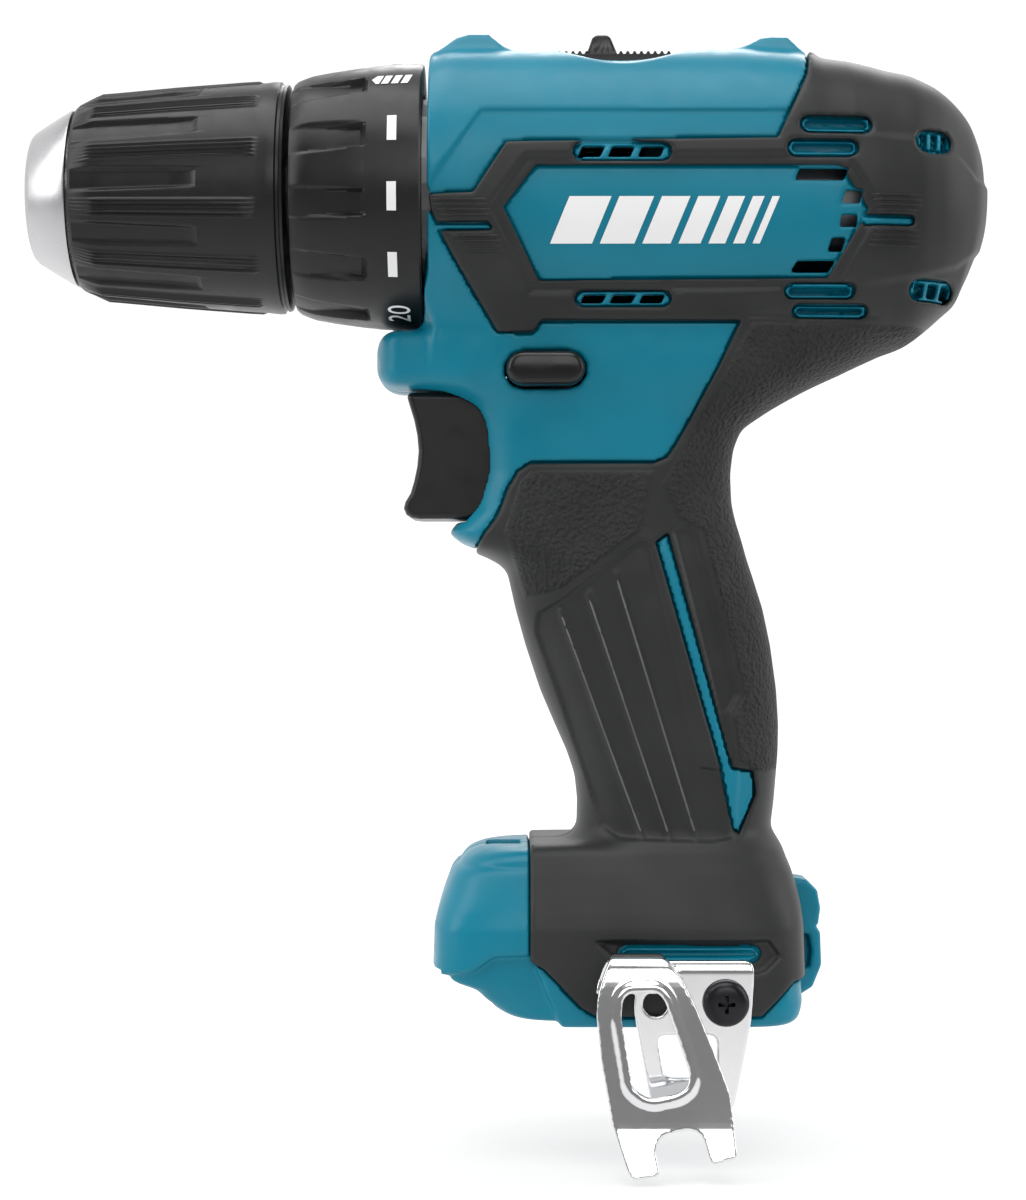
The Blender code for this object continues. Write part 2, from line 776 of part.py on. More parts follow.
def build_gears():
    made = []
    one, two, three = STAGE_1, STAGE_2, STAGE_3
    made.append(ring_gear("ring_gear_1", FIRST_STAGE_FRONT, -14.0, one["ring"], one["module"], ring_phase(one), 17.5))
    made.append(ring_gear("ring_gear_2", SHIFT_RING_FRONT, SHIFT_RING_REAR, two["ring"], two["module"], ring_phase(two), 17.4,
                          (-30.6, -28.4, 0.9)))
    made.append(ring_gear("ring_gear_3", -43.0, -36.6, three["ring"], three["module"], ring_phase(three), 17.5))
    made += planets(1, one, FIRST_STAGE_FRONT, -14.2)
    made += planets(2, two, -33.2, -25.3)
    made += planets(3, three, -42.6, -36.9)
    made.append(external_gear("motor_pinion", -20.4, -14.0, one["sun"], one["module"], 0.0, SHAFT_R + 0.25))
    return made


def build_carriers():
    two, three = STAGE_2, STAGE_3
    first = external_gear("carrier_1", -24.0, -21.0, two["ring"], two["module"] * 0.99, rim_phase())
    add(first, external_gear("sun_2", -33.2, -23.0, two["sun"], two["module"]))
    add_pins(first, STAGE_1, -22.0, -14.3)
    second = lathe("carrier_2", [(-36.1, 13.0), (-33.6, 13.0)], 28, closed=False)
    add(second, external_gear("sun_3", -42.5, -35.0, three["sun"], three["module"]))
    add_pins(second, two, -34.4, -25.6)
    return [first, second]


def rim_phase():
    """The rim's teeth stand in the shift ring's tooth spaces."""
    return ring_phase(STAGE_2) + math.pi / STAGE_2["ring"]


def build_spindle():
    profile = [
        (-84.0, 5.6), (-71.2, 5.6), (-71.2, 9.0), (-69.4, 9.0), (-69.4, 7.6), (-66.3, 7.6), (-66.3, 5.85),
        (-58.4, 5.85), (-58.4, 8.0), (-45.6, 8.0), (-45.6, 13.4), (-43.3, 13.4),
    ]
    spindle = lathe("spindle", profile, 24, closed=False)
    add_pins(spindle, STAGE_3, -44.0, -37.0)
    bearing = tube("spindle_bearing", -65.0, -59.0, 6.15, 10.5, 24)
    return [spindle, bearing]


def build_clutch():
    count = 3 * GRIP_SCOOPS
    rows = []
    stations = ((-68.6, 22.7, 0.0), (-67.0, 23.6, 0.0), (-64.5, 24.4, 0.0), (-63.0, 24.7, 1.0),
                (-54.5, 25.7, 1.0), (-51.8, 26.0, 0.0), (-43.0, 26.5, 0.0))
    for x, radius, scoop in stations:
        ring = []
        for k in range(count):
            angle = 2 * math.pi * k / count
            depth = 1.3 * scoop if k % 3 == 0 else 0.0
            reach = radius - depth
            ring.append((x, reach * math.cos(angle), AXIS_Z + reach * math.sin(angle)))
        rows.append(ring)
    for x, radius in ((-43.0, 20.4), (-66.4, 20.4), (-66.4, 13.6), (-68.6, 13.6)):
        rows.append(circle(x, radius, 24))
    ring = loft("clutch_ring", rows, closed=True)
    plate = tube("clutch_plate", -65.0, -63.2, 13.6, 18.6, 24)
    spring = coil("clutch_spring", -62.9, CASE_FRONT - FIT, 16.0, 0.8, 4, per_turn=12, sides=5)
    return [ring, plate, spring]


def build_chuck():
    profile = [
        (-121.0, 6.0), (-121.0, 10.6), (-120.2, 12.8), (-112.2, 17.8), (-112.0, 15.2), (-92.5, 15.2),
        (-92.5, 13.0), (-71.6, 13.0), (-71.6, 5.9), (-87.5, 5.9), (-87.5, 6.0),
    ]
    body = lathe("chuck_body", profile, 24)
    jaws = []
    for k in range(3):
        angle = math.radians(90) + 2 * math.pi * k / 3
        cut(body, jaw_rod("jaw_hole", angle, JAW_R + FIT, -4.0, 33.0, 16))
        jaws.append(build_jaw(k, angle))
    rows = []
    count = 3 * GRIP_SCOOPS
    stations = ((SLEEVE_FRONT, SLEEVE_FRONT_R, 0.0), (-110.5, SLEEVE_FRONT_R + 1.0, 0.0), (-107.5, 20.0, 0.0),
                (-106.0, 20.2, 1.0), (-88.0, 21.6, 1.0), (-85.5, 21.8, 0.0), (-72.5, SLEEVE_REAR_R, 0.0),
                (SLEEVE_REAR, SLEEVE_REAR_R - 0.6, 0.0))
    for x, radius, pocket in stations:
        ring = []
        for k in range(count):
            at = 2 * math.pi * k / count
            reach = radius - (0.9 if pocket and k % 3 == 0 else 0.0)
            ring.append((x, reach * math.cos(at), AXIS_Z + reach * math.sin(at)))
        rows.append(ring)
    for x, radius in ((SLEEVE_REAR, 13.4), (-91.5, 13.4), (-91.5, 18.0), (-106.0, 18.0), (-110.0, 15.6),
                      (SLEEVE_FRONT, 15.6)):
        rows.append(circle(x, radius, 24))
    sleeve = loft("chuck_sleeve", rows, closed=True)
    return [body, sleeve, build_chuck_screw()] + jaws


def build_chuck_screw():
    screw = lathe("chuck_screw", [(-90.6, 4.4), (-88.0, 4.4), (-88.0, 2.5), (-84.4, 2.5)], 16, closed=False)
    cut(screw, box("drive_slot", (-92.0, -0.5, AXIS_Z - 3.5), (-89.6, 0.5, AXIS_Z + 3.5)))
    return screw


def jaw_rod(name, angle, radius, start, end, count):
    """A bar along one jaw's slanted line, measured from the jaw's tip."""
    ends = []
    for along in (start, end):
        x = JAW_START + along * math.cos(JAW_ANGLE)
        reach = CHUCK_OPENING_R + 1.6 + along * math.sin(JAW_ANGLE)
        ends.append((x, reach * math.cos(angle), AXIS_Z + reach * math.sin(angle)))
    return rod(name, ends[0], ends[1], radius, count)


def build_jaw(index, angle):
    """Round bar with a wedge towards the bit and a square tip."""
    jaw = jaw_rod("jaw_%d" % (index + 1), angle, JAW_R, -3.0, JAW_LENGTH, 16)
    apex = CHUCK_OPENING_R - 0.35
    edge = CHUCK_OPENING_R
    wide = math.tan(math.radians(60))
    corners = ((edge, -(edge - apex) * wide), (edge, (edge - apex) * wide), (40.0, (40.0 - apex) * wide),
               (40.0, -(40.0 - apex) * wide))
    outline = []
    for reach, side in corners:
        outline.append((
            reach * math.cos(angle) - side * math.sin(angle),
            AXIS_Z + reach * math.sin(angle) + side * math.cos(angle),
        ))
    return keep(jaw, prism_x("wedge", outline, JAW_START, -60.0))


# Motor ---------------------------------------------------------------------

def build_motor():
    can = lathe("motor_can", [
        (CAN_FRONT, 4.0), (CAN_FRONT, CAN_R), (CAN_REAR, CAN_R), (CAN_REAR, CAN_R - CAN_WALL),
        (CAN_FRONT + 1.5, CAN_R - CAN_WALL), (CAN_FRONT + 1.5, 4.0)], 28)
    cap = lathe("motor_end_cap", [
        (52.3, SHAFT_R + FIT), (52.3, CAN_R), (54.0, CAN_R), (57.6, 12.0), (57.6, 5.0), (60.0, 5.0),
        (60.0, SHAFT_R + FIT)], 28)
    shaft = lathe("motor_shaft", [(-20.4, SHAFT_R), (58.8, SHAFT_R)], 12, closed=False)
    commutator = tube("commutator", 41.0, 49.0, SHAFT_R + FIT, 4.2, 16)
    made = [can, cap, shaft, commutator, build_core(), build_bracket(), build_fan()]
    inner = CAN_R - CAN_WALL - FIT
    for index, start in enumerate((-58, 122)):
        made.append(arc_bar("magnet_%d" % (index + 1), 8.0, 40.0, 13.2, inner, start, start + 116))
    for index, side in enumerate((-1, 1)):
        low = min(side * 4.5, side * 11.0)
        made.append(box("brush_%d" % (index + 1), (43.0, low, AXIS_Z - 1.6), (47.0, low + 6.5, AXIS_Z + 1.6)))
    return made


def arc_bar(name, x_low, x_high, inner, outer, start, end):
    steps = 10
    outline = []
    for radius, order in ((inner, range(steps + 1)), (outer, range(steps, -1, -1))):
        for k in order:
            angle = math.radians(start + (end - start) * k / steps)
            outline.append((radius * math.cos(angle), AXIS_Z + radius * math.sin(angle)))
    return prism_x(name, outline, x_low, x_high)


def build_core():
    """Laminated rotor with five slots."""
    rings = []
    for x in (10.0, 38.0):
        ring = []
        for k in range(5):
            middle = 2 * math.pi * k / 5
            for offset, radius in ((-30, 12.6), (-15, 12.6), (0, 12.6), (15, 12.6), (30, 12.6), (31, 8.0), (41, 8.0)):
                angle = middle + math.radians(offset)
                ring.append((x, radius * math.cos(angle), AXIS_Z + radius * math.sin(angle)))
        rings.append(ring)
    start = math.radians(-30)
    rings.append(circle(38.0, SHAFT_R + FIT, 35, start))
    rings.append(circle(10.0, SHAFT_R + FIT, 35, start))
    return loft("armature_core", rings, closed=True)


def build_bracket():
    bracket = tube("motor_bracket", -13.0, -11.4, 5.0, 18.0, 24)
    for k in range(3):
        angle = math.radians(30) + 2 * math.pi * k / 3
        y = 16.3 * math.cos(angle)
        z = AXIS_Z + 16.3 * math.sin(angle)
        add(bracket, rod("leg", (-12.0, y, z), (CAN_FRONT - FIT, y, z), 1.4, 10))
    return bracket


def build_fan():
    bore = SHAFT_R + FIT
    fan = lathe("cooling_fan", [
        (-9.6, bore), (-9.6, 4.0), (-4.6, 4.0), (-4.6, 13.8), (-3.0, 13.8), (-3.0, bore)], 24)
    for k in range(7):
        blade = box("blade", (-9.2, 3.2, AXIS_Z - 0.45), (-4.2, 13.2, AXIS_Z + 0.45))
        turn_about_axis(blade, 2 * math.pi * (k + 0.25) / 7)
        add(fan, blade)
    return fan


def turn_about_axis(target, angle):
    c = math.cos(angle)
    s = math.sin(angle)
    for vertex in target.data.vertices:
        y = vertex.co.y
        z = vertex.co.z - AXIS_Z * MM
        vertex.co.y = y * c - z * s
        vertex.co.z = AXIS_Z * MM + y * s + z * c


# Controls and small pieces --------------------------------------------------

def build_trigger():
    outline = [(-46.5, 122.4), (-45.2, 119.0), (-44.3, 115.0), (-44.0, 111.4), (-44.4, 106.6), (-46.0, 102.4),
               (-46.9, 100.7), (-46.2, 98.4), (-44.6, 97.5), (TRIGGER_REAR, 97.5), (TRIGGER_REAR, 122.4)]
    trigger = prism_y("trigger", outline, -TRIGGER_HALF_WIDTH, TRIGGER_HALF_WIDTH)
    cut(trigger, rod("spring_room", (-36.0, 0.0, 110.0), (-20.0, 0.0, 110.0), 4.6, 16))
    spring = coil("trigger_spring", -35.7, SWITCH_FRONT - FIT, 3.4, 0.5, 6, centre_z=110.0, per_turn=8, sides=5)
    switch = box("switch_body", (SWITCH_FRONT, -9.0, 94.0), (4.0, 9.0, 120.6))
    return [trigger, spring, switch]


def build_lever():
    lever = pill("direction_lever", (-19.1, 126.2), 7.6, 3.3, -LEVER_REACH, LEVER_REACH)
    return lever


def build_speed_control():
    knob = box("speed_knob", (KNOB_FRONT, -6.7, 185.2), (KNOB_REAR, 6.7, 190.4))
    add(knob, box("retainer", (KNOB_FRONT, -8.6, 183.9), (KNOB_REAR, 8.6, 185.5)))
    add(knob, box("button", (-11.1, -5.0, 190.0), (-5.0, 5.0, 193.6)))
    for k in range(6):
        start = -3.4 + 1.6 * k
        add(knob, box("grip_rib", (start, -6.0, 190.0), (start + 0.7, 6.0, 191.0)))
    yoke = arc_bar("shift_yoke", -30.4, -28.8, CASE_R + FIT, CASE_R + 1.5, -6, 186)
    for side in (-1, 1):
        start = (-29.6, side * 16.8, AXIS_Z)
        end = (-29.6, side * (CASE_R + 0.9), AXIS_Z)
        add(yoke, rod("pin", start, end, 0.9, 10))
    add(yoke, box("arm", (-30.4, -4.0, AXIS_Z + CASE_R + 0.6), (-14.0, 4.0, AXIS_Z + CASE_R + 2.2)))
    add(yoke, box("tongue", (-17.0, -2.0, AXIS_Z + CASE_R + 1.6), (-14.0, 2.0, 186.5)))
    cut(knob, box("tongue_room", (-17.3, -2.3, 183.0), (-13.7, 2.3, 186.8)))
    return [knob, yoke]


def build_terminals():
    block = box("terminal_block", (-13.0, -10.0, 0.0), (13.0, 10.0, 9.8))
    for y in (-6.0, 6.0):
        cut(block, box("slot", (-14.0, y - 1.2, -1.0), (10.0, y + 1.2, 8.6)))
    made = [block]
    for name, y in (("terminal_negative", -6.0), ("terminal_positive", 6.0)):
        made.append(box(name, (-11.0, y - 0.4, 1.0), (9.0, y + 0.4, 8.3)))
    return made


def lead(name, path, radius=1.0):
    curve = bpy.data.curves.new(name, "CURVE")
    curve.dimensions = "3D"
    curve.bevel_depth = radius * MM
    curve.bevel_resolution = 1
    curve.use_fill_caps = True
    spline = curve.splines.new("POLY")
    spline.points.add(len(path) - 1)
    for point, (x, y, z) in zip(spline.points, path):
        point.co = (x * MM, y * MM, z * MM, 1.0)
    holder = bpy.data.objects.new(name, curve)
    bpy.context.scene.collection.objects.link(holder)
    graph = bpy.context.evaluated_depsgraph_get()
    mesh = bpy.data.meshes.new_from_object(holder.evaluated_get(graph))
    bpy.data.objects.remove(holder, do_unlink=True)
    work = bmesh.new()
    work.from_mesh(mesh)
    bmesh.ops.remove_doubles(work, verts=work.verts, dist=0.00001)
    bmesh.ops.recalc_face_normals(work, faces=work.faces)
    work.to_mesh(mesh)
    work.free()
    made = bpy.data.objects.new(name, mesh)
    bpy.context.scene.collection.objects.link(made)
    return made


def build_leads():
    made = []
    for name, side in (("lead_negative", -1), ("lead_positive", 1)):
        y = side * 5.0
        path = ((0.0, y, 13.4), (1.0, y, 18.0), (3.0, y, 30.0), (4.0, y, 50.0), (1.0, y, 70.0), (-3.0, y, 84.0),
                (-5.0, y, 91.8))
        made.append(lead(name, path))
    return made


def build_lamp():
    outline = [(-30.6, 26.0), (-24.2, 26.0), (-24.2, 30.6), (-27.0, 31.6), (-30.6, 30.0)]
    return prism_y("led_lens", outline, -4.0, 4.0)


def build_clip():
    """Sprung steel clip with a fixed plate and an outer leaf."""
    inner = -(FOOT_HALF_WIDTH + FIT)
    sheet = 1.2
    x, z = CLIP_SCREW_AT
    back = prism_y("belt_clip", [(-1.5, 13.4), (20.5, 13.4), (20.4, 8.8), (19.9, 1.8), (18.8, -4.1), (16.6, -14.5),
                                 (15.2, -15.5), (0.8, -14.7), (-2.8, 3.9), (-2.2, 9.0)], inner - sheet, inner)
    cut(back, rod("clip_hole", (x, -40.0, z), (x, -20.0, z), CLIP_SCREW_R + FIT, 12))
    cut(back, rod("spare_hole", (1.6, -40.0, 5.0), (1.6, -20.0, 5.0), 2.3, 12))
    cut(back, prism_y("plate_window", [(1.9, -0.9), (13.2, -0.9), (13.2, -9.0), (3.2, -9.0)], -40.0, -20.0))
    low = [(inner - sheet, 8.0), (inner - sheet, 10.4), (inner - 2.6, 13.0), (inner - 4.9, 14.0),
           (inner - 7.2, 13.0), (inner - 8.6, 8.0), (inner - 11.5, -15.0), (inner - 15.0, -26.4)]
    strip = sheet_strip("leaf", low, sheet, -24.0, 26.0)
    leaf_outline = [(-6.7, 16.4), (-8.5, 11.7), (-10.0, 4.4), (-9.0, -4.3), (-7.0, -15.7), (-3.4, -25.5),
                    (1.7, -24.4), (0.7, -19.7), (3.4, -17.1), (7.0, -16.4), (9.4, -17.4), (11.0, -22.6),
                    (16.1, -21.4), (14.8, -9.5), (12.2, -2.6), (8.6, 5.9), (4.0, 13.4), (1.6, 16.4)]
    keep(strip, prism_y("leaf_area", leaf_outline, -60.0, 0.0))
    cut(strip, prism_y("window", [(-4.6, 7.8), (1.6, 8.6), (7.4, -7.0), (5.2, -9.8), (0.5, -10.8),
                                  (-3.2, -8.8), (-5.3, 3.9)], -60.0, inner - 6.0))
    add(back, strip)
    head_y = inner - sheet - FIT
    screw = rod("clip_screw", (x, head_y - 2.2, z), (x, head_y, z), 4.4, 16)
    add(screw, rod("shank", (x, head_y - 1.0, z), (x, CLIP_SCREW_END, z), CLIP_SCREW_R, 12))
    cut_cross(screw, x, z, head_y - 2.2, 1.2, -1.0)
    return [back, screw]


def sheet_strip(name, path, thick, x_low, x_high):
    """Sheet bent along a line in Y and Z."""
    outline = []
    back = []
    count = len(path)
    for i in range(count):
        before = path[max(i - 1, 0)]
        after = path[min(i + 1, count - 1)]
        dy = after[0] - before[0]
        dz = after[1] - before[1]
        size = math.hypot(dy, dz)
        outline.append(path[i])
        back.append((path[i][0] + thick * dz / size, path[i][1] - thick * dy / size))
    return prism_x(name, outline + back[::-1], x_low, x_high)


PAINTS = {
    "teal": ((0.02, 0.24, 0.27), 0.42, 0.0),
    "rubber": ((0.018, 0.019, 0.02), 0.75, 0.0),
    "black": ((0.02, 0.02, 0.022), 0.45, 0.0),
    "silver": ((0.72, 0.72, 0.73), 0.25, 1.0),
    "chrome": ((0.85, 0.85, 0.86), 0.08, 1.0),
    "steel": ((0.45, 0.45, 0.47), 0.35, 1.0),
    "dark_steel": ((0.06, 0.06, 0.065), 0.4, 1.0),
    "cast": ((0.30, 0.30, 0.31), 0.5, 1.0),
    "copper": ((0.72, 0.38, 0.2), 0.3, 1.0),
    "brass": ((0.75, 0.58, 0.25), 0.3, 1.0),
    "red": ((0.5, 0.03, 0.02), 0.5, 0.0),
    "white": ((0.7, 0.7, 0.68), 0.5, 0.0),
    "lens": ((0.85, 0.88, 0.9), 0.1, 0.0),
}

PAINT_OF = (
    ("shell_", "teal"), ("grip_", "rubber"), ("trigger_spring", "steel"), ("trigger", "black"),
    ("switch_body", "black"), ("direction_lever", "black"), ("speed_knob", "black"), ("shift_yoke", "steel"),
    ("gear_case", "cast"), ("motor_bracket", "white"), ("motor_can", "steel"), ("motor_end_cap", "black"),
    ("motor_shaft", "steel"), ("motor_pinion", "steel"), ("brush_", "copper"), ("magnet_", "dark_steel"),
    ("armature_core", "steel"), ("commutator", "copper"), ("cooling_fan", "black"), ("ring_gear_", "steel"),
    ("planet_", "steel"), ("carrier_", "steel"), ("spindle_bearing", "steel"), ("spindle", "steel"),
    ("clutch_ring", "black"), ("clutch_spring", "steel"), ("clutch_plate", "steel"), ("chuck_body", "silver"),
    ("chuck_sleeve", "black"), ("chuck_screw", "steel"), ("jaw_", "steel"), ("terminal_block", "black"),
    ("terminal_", "brass"), ("lead_positive", "red"), ("lead_negative", "black"), ("led_lens", "lens"),
    ("belt_clip", "chrome"), ("clip_screw", "dark_steel"), ("case_screw_", "dark_steel"),
)

SMOOTH_LIMIT = math.radians(32)
TURNED = {
    "chuck_body": (-80.0, 0.0, AXIS_Z), "chuck_sleeve": (-90.0, 0.0, AXIS_Z), "spindle": (-55.0, 0.0, AXIS_Z),
    "carrier_1": (-22.0, 0.0, AXIS_Z), "carrier_2": (-35.0, 0.0, AXIS_Z), "clutch_ring": (-55.0, 0.0, AXIS_Z),
    "clutch_plate": (-64.0, 0.0, AXIS_Z), "motor_shaft": (20.0, 0.0, AXIS_Z), "armature_core": (24.0, 0.0, AXIS_Z),
    "commutator": (45.0, 0.0, AXIS_Z), "cooling_fan": (-6.0, 0.0, AXIS_Z), "motor_pinion": (-17.0, 0.0, AXIS_Z),
    "trigger": (-36.0, 0.0, 110.0), "direction_lever": (-19.1, 0.0, 126.2), "speed_knob": (-8.0, 0.0, 188.0),
    "shift_yoke": (-29.6, 0.0, AXIS_Z), "ring_gear_2": (-29.6, 0.0, AXIS_Z), "chuck_screw": (-88.0, 0.0, AXIS_Z),
}


def planet_centre(name):
    stage = {"1": STAGE_1, "2": STAGE_2, "3": STAGE_3}[name.split("_")[1]]
    angle = 2 * math.pi * "abc".index(name[-1]) / 3
    reach = orbit_radius(stage)
    return (0.0, reach * math.cos(angle), AXIS_Z + reach * math.sin(angle))


def set_origin(target, point):
    """Move an object's origin without moving its surface."""
    shift = [c * MM for c in point]
    for vertex in target.data.vertices:
        vertex.co.x -= shift[0]
        vertex.co.y -= shift[1]
        vertex.co.z -= shift[2]
    target.location = shift


def finish(target, paints):
    for prefix, paint in PAINT_OF:
        if target.name.startswith(prefix):
            target.data.materials.clear()
            target.data.materials.append(paints[paint])
            break
    target.data.shade_smooth()
    target.data.set_sharp_from_angle(angle=SMOOTH_LIMIT)
    if target.name.startswith("planet_"):
        set_origin(target, planet_centre(target.name))
    elif target.name in TURNED:
        set_origin(target, TURNED[target.name])


def main():
    clear_scene()
    paints = {name: material(name, *values) for name, values in PAINTS.items()}
    pieces = build_shells() + build_screws()
    pieces += [build_gear_case()] + build_gears() + build_carriers() + build_spindle() + build_clutch()
    pieces += build_chuck() + build_motor() + build_trigger() + [build_lever()] + build_speed_control()
    pieces += build_terminals() + build_leads() + [build_lamp()] + build_clip()
    for piece in pieces:
        finish(piece, paints)


main()
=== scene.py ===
"""Looks for the bare cordless drill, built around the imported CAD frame.

Lengths in the body's fields are millimetres; meshes are in metres.
"""
import math

import bmesh
import bpy
import numpy as np
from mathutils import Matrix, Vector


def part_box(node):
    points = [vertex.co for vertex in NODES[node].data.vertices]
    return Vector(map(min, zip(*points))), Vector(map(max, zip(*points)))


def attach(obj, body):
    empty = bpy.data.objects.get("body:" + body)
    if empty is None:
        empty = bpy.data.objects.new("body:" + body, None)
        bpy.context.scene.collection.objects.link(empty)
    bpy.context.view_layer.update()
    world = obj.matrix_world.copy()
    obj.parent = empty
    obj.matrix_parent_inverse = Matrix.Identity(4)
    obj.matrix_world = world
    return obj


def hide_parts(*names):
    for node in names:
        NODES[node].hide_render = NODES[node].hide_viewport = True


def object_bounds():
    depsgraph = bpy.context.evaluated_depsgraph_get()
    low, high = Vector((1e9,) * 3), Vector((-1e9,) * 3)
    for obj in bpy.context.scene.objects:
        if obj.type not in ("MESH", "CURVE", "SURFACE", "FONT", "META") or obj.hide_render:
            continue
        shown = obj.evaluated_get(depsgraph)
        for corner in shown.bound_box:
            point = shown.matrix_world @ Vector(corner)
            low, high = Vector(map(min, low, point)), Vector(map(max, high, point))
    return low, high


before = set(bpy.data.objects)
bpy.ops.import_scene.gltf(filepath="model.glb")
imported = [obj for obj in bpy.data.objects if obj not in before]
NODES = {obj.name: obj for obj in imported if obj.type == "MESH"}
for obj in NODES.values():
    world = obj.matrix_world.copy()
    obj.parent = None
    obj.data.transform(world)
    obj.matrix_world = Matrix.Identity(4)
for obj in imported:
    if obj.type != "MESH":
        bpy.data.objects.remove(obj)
MM = 0.001
CAD_BOX = [list(corner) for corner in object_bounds()]
CELL = 0.45
CLIP_CELL = 0.26
ring_low, ring_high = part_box("clutch_ring")
AXIS_Z = 0.5 * (ring_low[2] + ring_high[2]) / MM
BARREL_FRONT = ring_high[0] / MM + 0.4
BARREL_REAR = 68.1

RUBBER_THICK = 2.0
SHELL_SINK = 0.9
SHELL_SINK_UNDER_RUBBER = 2.2
SHELL_INSIDE = 3.9
SEAM_HALF_GAP = 0.09
PRINT_LIFT = 0.07
CAMERA_PLACE = (-0.0254, -0.5, 0.0816)
LIGHTS = (
    # name, place, target, width, height, power
    ("top_light", (-0.15, -0.2, 1.0), (0.0, 0.0, 0.12), 1.1, 0.7, 7.0),
    ("left_light", (-0.9, -0.3, 0.55), (0.0, 0.0, 0.1), 0.45, 0.9, 4.0),
    ("right_light", (0.95, -0.15, 0.5), (0.0, 0.0, 0.1), 0.4, 0.8, 3.0),
    ("front_light", (0.1, -1.5, 0.75), (0.0, 0.0, 0.1), 1.2, 0.7, 6.0),
    ("back_light", (0.2, 1.1, 1.0), (0.0, 0.0, 0.1), 0.8, 0.5, 5.0),
)


# Camera

def add_camera():
    data = bpy.data.cameras.new("view_camera")
    data.sensor_width = 36.0
    data.lens = 75.0
    camera = bpy.data.objects.new("view_camera", data)
    bpy.context.scene.collection.objects.link(camera)
    camera.location = CAMERA_PLACE
    camera.rotation_euler = (math.radians(90), 0.0, 0.0)
    bpy.context.scene.camera = camera


# Mesh helpers

def link(name, mesh):
    piece = bpy.data.objects.new(name, mesh)
    bpy.context.scene.collection.objects.link(piece)
    return piece


def mesh_from_arrays(name, points, quads):
    """A mesh from arrays in millimetres."""
    mesh = bpy.data.meshes.new(name)
    mesh.vertices.add(len(points))
    mesh.vertices.foreach_set("co", (points * MM).astype(np.float32).ravel())
    mesh.loops.add(len(quads) * 4)
    mesh.loops.foreach_set("vertex_index", quads.astype(np.int32).ravel())
    mesh.polygons.add(len(quads))
    mesh.polygons.foreach_set("loop_start", np.arange(0, len(quads) * 4, 4, dtype=np.int32))
    mesh.update(calc_edges=True)
    mesh.validate()
    return mesh


def piece_from(name, points, faces, sharp=35.0):
    """A small piece from lists in millimetres, faces turned outwards."""
    mesh = bpy.data.meshes.new(name)
    mesh.from_pydata([(x * MM, y * MM, z * MM) for x, y, z in points], [], faces)
    work = bmesh.new()
    work.from_mesh(mesh)
    bmesh.ops.recalc_face_normals(work, faces=work.faces)
    work.to_mesh(mesh)
    work.free()
    smooth(mesh, sharp)
    return link(name, mesh)


def smooth(mesh, sharp):
    mesh.shade_smooth()
    mesh.set_sharp_from_angle(angle=math.radians(sharp))


def loft(name, rings, closed=False, sharp=35.0):
    """Skin through equal rings of points, capped or joined into a loop."""
    count = len(rings[0])
    points = [p for ring in rings for p in ring]
    faces = []
    last = len(rings) if closed else len(rings) - 1
    for i in range(last):
        a = i * count
        b = ((i + 1) % len(rings)) * count
        for k in range(count):
            n = (k + 1) % count
            faces.append((a + k, a + n, b + n, b + k))
    if not closed:
        faces.append(tuple(range(count)))
        faces.append(tuple((len(rings) - 1) * count + k for k in range(count)))
    return piece_from(name, points, faces, sharp)


def apply_modifiers(target):
    graph = bpy.context.evaluated_depsgraph_get()
    mesh = bpy.data.meshes.new_from_object(target.evaluated_get(graph))
    target.modifiers.clear()
    target.data = mesh


def combine(target, other, operation):
    """Cut or join one piece with another, which is used up."""
    modifier = target.modifiers.new("combine", "BOOLEAN")
    modifier.operation = operation
    modifier.solver = "EXACT"
    modifier.object = other
    apply_modifiers(target)
    bpy.data.objects.remove(other, do_unlink=True)


# Plane outlines

def outline_distance(x, z, outline):
    """Signed distance to a closed outline, negative inside."""
    shape = np.broadcast(x, z).shape
    best = np.full(shape, 1e9, np.float32)
    inside = np.zeros(shape, bool)
    count = len(outline)
    for i in range(count):
        ax, az = outline[i]
        bx, bz = outline[(i + 1) % count]
        ex = bx - ax
        ez = bz - az
        t = np.clip(((x - ax) * ex + (z - az) * ez) / (ex * ex + ez * ez), 0, 1)
        best = np.minimum(best, (x - ax - t * ex) ** 2 + (z - az - t * ez) ** 2)
        if az != bz:
            crosses = ((az > z) != (bz > z)) & (x < ex * (z - az) / ez + ax)
            inside ^= crosses
    best = np.sqrt(best)
    return np.where(inside, -best, best).astype(np.float32)


def ramp(distance, width):
    """One inside an outline, falling smoothly to nothing across its edge."""
    t = np.clip(0.5 - distance / width, 0, 1)
    return t * t * (3 - 2 * t)


def line_distance(x, z, start, end):
    """Distance to a straight line between two points."""
    ex = end[0] - start[0]
    ez = end[1] - start[1]
    t = np.clip(((x - start[0]) * ex + (z - start[1]) * ez) / (ex * ex + ez * ez), 0, 1)
    return np.hypot(x - start[0] - t * ex, z - start[1] - t * ez)


def slot_outline(x_low, x_high, z_low, z_high, steps=5):
    """A round-ended slot."""
    radius = 0.5 * (z_high - z_low)
    middle = 0.5 * (z_low + z_high)
    points = []
    for centre, start in ((x_high - radius, -90), (x_low + radius, 90)):
        for k in range(steps + 1):
            angle = math.radians(start + 180 * k / steps)
            points.append((centre + radius * math.cos(angle), middle + radius * math.sin(angle)))
    return points


def leaning(x_low, x_high, z_low, z_high, lean):
    """A four-sided opening whose ends slant."""
    return [(x_low, z_low), (x_high - lean, z_low), (x_high, z_high), (x_low + lean, z_high)]


